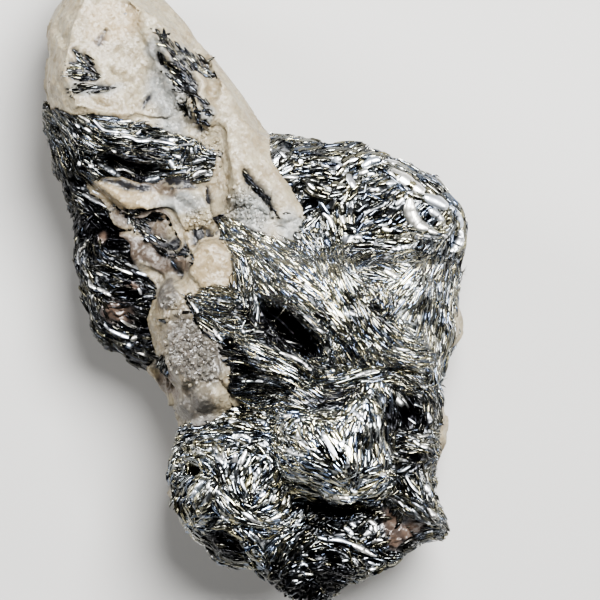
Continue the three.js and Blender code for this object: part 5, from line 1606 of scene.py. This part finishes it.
def vein_and_shade_share(places):
    """How far inside the veins and painted shade lines a place is, the same for the veins with flakes, and
    the flakes' direction.
    """
    ragged = 0.22 * MM * rough_noise(places, 0.8 * MM, 23, 2)
    share, flaky = np.zeros(len(places)), np.zeros(len(places))
    angle = np.zeros(len(places))
    for reach, turn, points in veins_and_shade_lines:
        apart, _, along = beside_line(places, points)
        taper = 0.45 + 0.55 * np.sin(np.pi * along.clip(0, 1))
        here = (1.7 * (1.15 - (apart + ragged) / (reach * MM * taper))).clip(0, 1)
        run = np.subtract(points[-1], points[0])
        here_angle = math.atan2(run[1], run[0]) if turn is None else math.radians(turn)
        angle = np.where(here > share, here_angle, angle)
        share = np.maximum(share, here)
        flaky = np.maximum(flaky, here * (reach > 0.3 and turn is not None))
    angle += np.pi * (np.sin(angle - OPEN_SIDE) < 0)
    return share, flaky, np.stack([np.cos(angle), np.sin(angle), 0 * angle], 1)


# %% [markdown]
# Quartz breaks in chips, not along flat planes. A noise of small tilted facets gives the chips, and
# a slow noise the lumps. Both only take away. Next to the hematite the quartz swells a little
# instead, and trenches are filled.

# %% Shape the quartz
def quartz_body():
    joined = merged_copy("quartz_matrix")
    seam = merged_copy("hematite_upper_seam", 0.4 * MM)
    mesh = bpy.data.meshes.new("quartz")
    seam.to_mesh(mesh)
    joined.from_mesh(mesh)
    joined.to_mesh(mesh)
    body = even_body("quartz", mesh, 0.3 * MM, 6)
    mesh = body.data
    places, normals = mesh_points(mesh), mesh_normals(mesh)
    tree = neighbours_of("quartz_matrix", "hematite_upper_seam")
    gaps = np.array([tree.find_nearest(p)[3] for p in places.tolist()])
    touch = (1 - gaps / (2.2 * MM)).clip(0, 1)
    near = (1 - (gaps / MM - 0.4) / 0.8).clip(0, 1)
    sugar = patch_share(places, sugar_patches)
    vein, flaky, level = vein_and_shade_share(places)
    upward = (normals[:, 2] * 3).clip(0, 1)
    vein, flaky = vein * upward, flaky * upward
    large_chips, small_chips = cell_facets(places, 4.0 * MM, 3), cell_facets(places, 1.3 * MM, 9)
    fracture = 0.09 * large_chips + (0.08 + 0.13 * sugar) * small_chips
    lumps = 0.30 * MM * rough_noise(places, 4.5 * MM, 31) + 0.07 * MM * smooth_noise(places, 0.8 * MM, 41)
    rise = (-0.32 * MM + fracture + lumps - 0.4 * MM * vein).clip(-1.1 * MM, 0.0)
    rise = np.where(places[:, 2] < 0.5 * MM, 0, rise) * (1 - near) + 0.12 * MM * near
    drop = ledge_drop(places, quartz_steps) * upward
    fill = trench_fill(places, normals, 0.7)
    set_points(mesh, places + normals * rise[:, None] + UP * (fill - drop)[:, None])
    normals = mesh_normals(mesh)
    specks = (rough_noise(places, 1.4 * MM, 77) - 0.95).clip(0, 0.2) + 0.15 * (touch - 0.8).clip(0, 1)
    set_attribute(mesh, "vein", "FLOAT", vein)
    set_attribute(mesh, "stain", "FLOAT", touch)
    set_attribute(mesh, "sugar", "FLOAT", sugar)
    for tint, patches in quartz_tints.items():
        set_attribute(mesh, tint, "FLOAT", patch_share(places, patches))
    face = facing_light(normals, 0.2 + 0.5 * (smooth_noise(places, 1.6 * MM, 53) > 0))
    set_attribute(mesh, "face", "FLOAT_VECTOR", face)
    set_attribute(mesh, "flow", "FLOAT_VECTOR", free_edges(tangent(level, face), face, normals))
    set_attribute(mesh, "cover", "FLOAT", (flaky + specks * (normals[:, 2] > 0)) * (gaps > 0.5 * MM))
    set_attribute(mesh, "lustre", "FLOAT", 0.06 + 0.6 * flaky * (smooth_noise(places, 1.1 * MM, 57) > 0.3))
    set_attribute(mesh, "lock", "FLOAT", smooth_noise(places, 0.8 * MM, 61) * 2)
    return body


quartz = quartz_body()
print("quartz:", len(quartz.data.polygons), "faces")


# %% [markdown]
# Milky quartz is clouded by tiny hollows, so it is whitish and lets light in a little way. A deep
# scattering would be slow and hide the chips, so it is kept small and the milkiness is in the colour:
# one tint after another is laid over a cloudy cream, each where its patch or noise says.

# %% Quartz finish
def quartz_finish():
    material, nodes, link, shader = principled("milky_quartz")
    place = nodes.new("ShaderNodeTexCoord").outputs["Object"]

    def noise(scale, detail=3.0):
        made = nodes.new("ShaderNodeTexNoise")
        made.inputs["Scale"].default_value = scale
        made.inputs["Detail"].default_value = detail
        link(place, made.inputs["Vector"])
        return made.outputs["Fac"]

    def blend(factor, first, second):
        return mix_in(nodes, link, factor, first, second)

    def stretch(source, low, high, to_low=0.0, to_high=1.0):
        made = nodes.new("ShaderNodeMapRange")
        for name, value in (("From Min", low), ("From Max", high), ("To Min", to_low), ("To Max", to_high)):
            made.inputs[name].default_value = value
        link(source, made.inputs["Value"])
        return made.outputs["Result"]

    grains = facets_in(nodes, 3600.0, 0.4)
    cloudy = blend(stretch(noise(240), 0.38, 0.62), (0.150, 0.120, 0.074), (0.188, 0.161, 0.110))
    patchy = blend(stretch(noise(900), 0.45, 0.75), cloudy, (0.235, 0.208, 0.147))
    warmed = blend(stretch(attribute(nodes, "warm"), 0.1, 0.7, 0.0, 0.85), patchy, (0.196, 0.150, 0.085))
    cooled = blend(stretch(attribute(nodes, "cool"), 0.0, 0.9, 0.0, 0.8), warmed, (0.125, 0.134, 0.136))
    greyed = blend(stretch(attribute(nodes, "grey"), 0.0, 0.8, 0.0, 0.85), cooled, (0.040, 0.038, 0.038))
    grainy = blend(stretch(grains["Shade"], 0.74, 1.0, 0.0, 0.3), greyed, (0.31, 0.29, 0.245))
    dirty = blend(stretch(noise(1500), 0.56, 0.78, 0.0, 0.55), grainy, (0.13, 0.105, 0.085))
    browned = blend(stretch(attribute(nodes, "brown"), 0.0, 0.6, 0.0, 0.85), dirty, (0.055, 0.04, 0.03))
    # Darker next to the hematite: an iron stain, and painted shade where the quartz meets it.
    stained_and_shaded = blend(stretch(attribute(nodes, "stain"), 0.7, 1.0, 0.0, 0.7), browned, (0.05, 0.042, 0.036))
    # Black in the veins; under the band and at the foot of a step this black is painted shade.
    veined_and_shaded = blend(attribute(nodes, "vein"), stained_and_shaded, (0.010, 0.010, 0.012))
    link(veined_and_shaded, shader["Base Color"])
    bump = nodes.new("ShaderNodeBump")
    bump.inputs["Strength"].default_value = 0.9
    bump.inputs["Distance"].default_value = 0.16 * MM
    link(noise(1500, 6.0), bump.inputs["Height"])
    link(grains["Normal"], bump.inputs["Normal"])
    link(bump.outputs["Normal"], shader["Normal"])
    link(stretch(attribute(nodes, "sugar"), 0.0, 1.0, 0.42, 0.24), shader["Roughness"])
    shader["Subsurface Weight"].default_value = 0.12
    shader["Subsurface Scale"].default_value = 0.0008
    shader["Subsurface Radius"].default_value = (1.0, 0.8, 0.6)
    return material


quartz_material = quartz_finish()
quartz.data.materials.append(quartz_material)
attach(quartz, "root")
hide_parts("quartz_matrix")

vein_flake = dict(length=1.3, width=0.3, crowd=7.5, packets=10, own=14)
vein_coat = comb_on(quartz, "seam_veins", vein_flake, 90, flake_material)
set_points(vein_coat.data, in_box(mesh_points(vein_coat.data)))
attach(vein_coat, "root")
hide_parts("hematite_upper_seam")
print("vein flakes:", len(vein_coat.data.polygons) // FLAKE_FACES)

# %% [markdown]
# ## Sugar
# Parts of the quartz are a crust of tiny crystals. A crystal here is the hull of a few points on a
# small prism with a pointed end. The comb that lays flakes also sets these.

# %% Sugar grains
def sugar_shape(name, seed):
    """A blunt little quartz crystal, about one unit in size, with flat faces."""
    draw = np.random.default_rng(seed)
    work = bmesh.new()
    for turn in range(6):
        angle = math.radians(60 * turn + draw.uniform(-12, 12))
        wide = draw.uniform(0.36, 0.5)
        for height in (-0.4, draw.uniform(0.1, 0.35)):
            work.verts.new((wide * math.cos(angle), wide * math.sin(angle), height))
    work.verts.new((draw.uniform(-0.12, 0.12), draw.uniform(-0.12, 0.12), 0.62))
    bmesh.ops.convex_hull(work, input=work.verts)
    bmesh.ops.recalc_face_normals(work, faces=work.faces)
    mesh = bpy.data.meshes.new(name)
    work.to_mesh(mesh)
    work.free()
    return mesh


sugar_family = bpy.data.collections.new("sugar")
for i in range(5):
    shape = sugar_shape(f"sugar_{i}", 70 + i)
    sugar_family.objects.link(bpy.data.objects.new(shape.name, shape))

crust = bpy.data.objects.new("crust", quartz.data.copy())
values = np.empty(len(crust.data.vertices), np.float32)
crust.data.attributes["sugar"].data.foreach_get("value", values)
places, normals = mesh_points(crust.data), mesh_normals(crust.data)
bare, _, _ = vein_and_shade_share(places)
cover = values * (normals[:, 2] > 0.1) * (1 - bare)
crust.data.attributes["cover"].data.foreach_set("value", cover.astype(np.float32))
crust.data.attributes["face"].data.foreach_set("vector", normals.astype(np.float32).ravel())
sugar_size = dict(family="sugar", length=0.55, width=0.55, crowd=6, packets=14, own=55)
sugar = comb_on(crust, "quartz_sugar", sugar_size, 95, quartz_material)
bpy.data.objects.remove(crust)
set_points(sugar.data, in_box(mesh_points(sugar.data)))
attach(sugar, "root")
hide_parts("quartz_matrix")
print("sugar faces:", len(sugar.data.polygons))

# %% [markdown]
# ## The stage
# The specimen lies on a plain pale floor. A large soft light stands high on one side, two weak ones
# fill in from left and right, and a faint grey world keeps the shadows open. The camera looks
# straight down through a long lens, so that high parts hardly lean outwards.

# %% Stage
bpy.ops.mesh.primitive_plane_add(size=2)
floor = bpy.context.object
floor.name = "floor"
material, nodes, link, shader = principled("pale_floor")
shader["Base Color"].default_value = (0.33, 0.325, 0.315, 1)
shader["Roughness"].default_value = 0.9
floor.data.materials.append(material)
floor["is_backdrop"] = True


def softbox(name, place, size, power, aim=(0, 0, 0.012)):
    light = bpy.data.lights.new(name, "AREA")
    light.shape = "DISK"
    light.size, light.energy = size, power
    lamp = bpy.data.objects.new(name, light)
    lamp.location = place
    lamp.rotation_mode = "QUATERNION"
    lamp.rotation_quaternion = (Vector(aim) - Vector(place)).to_track_quat("-Z", "Y")
    bpy.context.collection.objects.link(lamp)


softbox("key", tuple(KEY_PLACE), 0.26, 11.2)
softbox("right", (0.36, 0.02, 0.20), 0.12, 1.6)
softbox("left", (-0.34, 0.16, 0.22), 0.14, 2.2)
world = bpy.data.worlds.new("studio")
bpy.context.scene.world = world
world.use_nodes = True
world.node_tree.nodes["Background"].inputs["Color"].default_value = (0.55, 0.58, 0.62, 1)
world.node_tree.nodes["Background"].inputs["Strength"].default_value = 0.035

VIEW_WIDTH = 60 * MM
camera_data = bpy.data.cameras.new("camera")
camera_data.lens = 500
camera_data.sensor_width = 36
camera = bpy.data.objects.new("camera", camera_data)
centre = on_map([(26, 30)])[0]
camera.location = (centre[0], centre[1], 0.018 + VIEW_WIDTH * camera_data.lens / camera_data.sensor_width)
camera_data.clip_start, camera_data.clip_end = 0.01, 10
bpy.context.collection.objects.link(camera)
bpy.context.scene.camera = camera

# %% [markdown]
# ## Size and finish
# The box of the frame and the box of what was made are written down side by side, so that anyone can
# see that the looks didn't change the size. The view's look is set too, because the brightness of
# the finishes was chosen with it.

# %% Finish
visual_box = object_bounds()
bpy.context.scene.view_settings.look = "AgX - Medium High Contrast"
for title, box in (("visual box:", visual_box), ("cad box:", cad_box)):
    print(title, [[round(v / MM, 2) for v in corner] for corner in box])
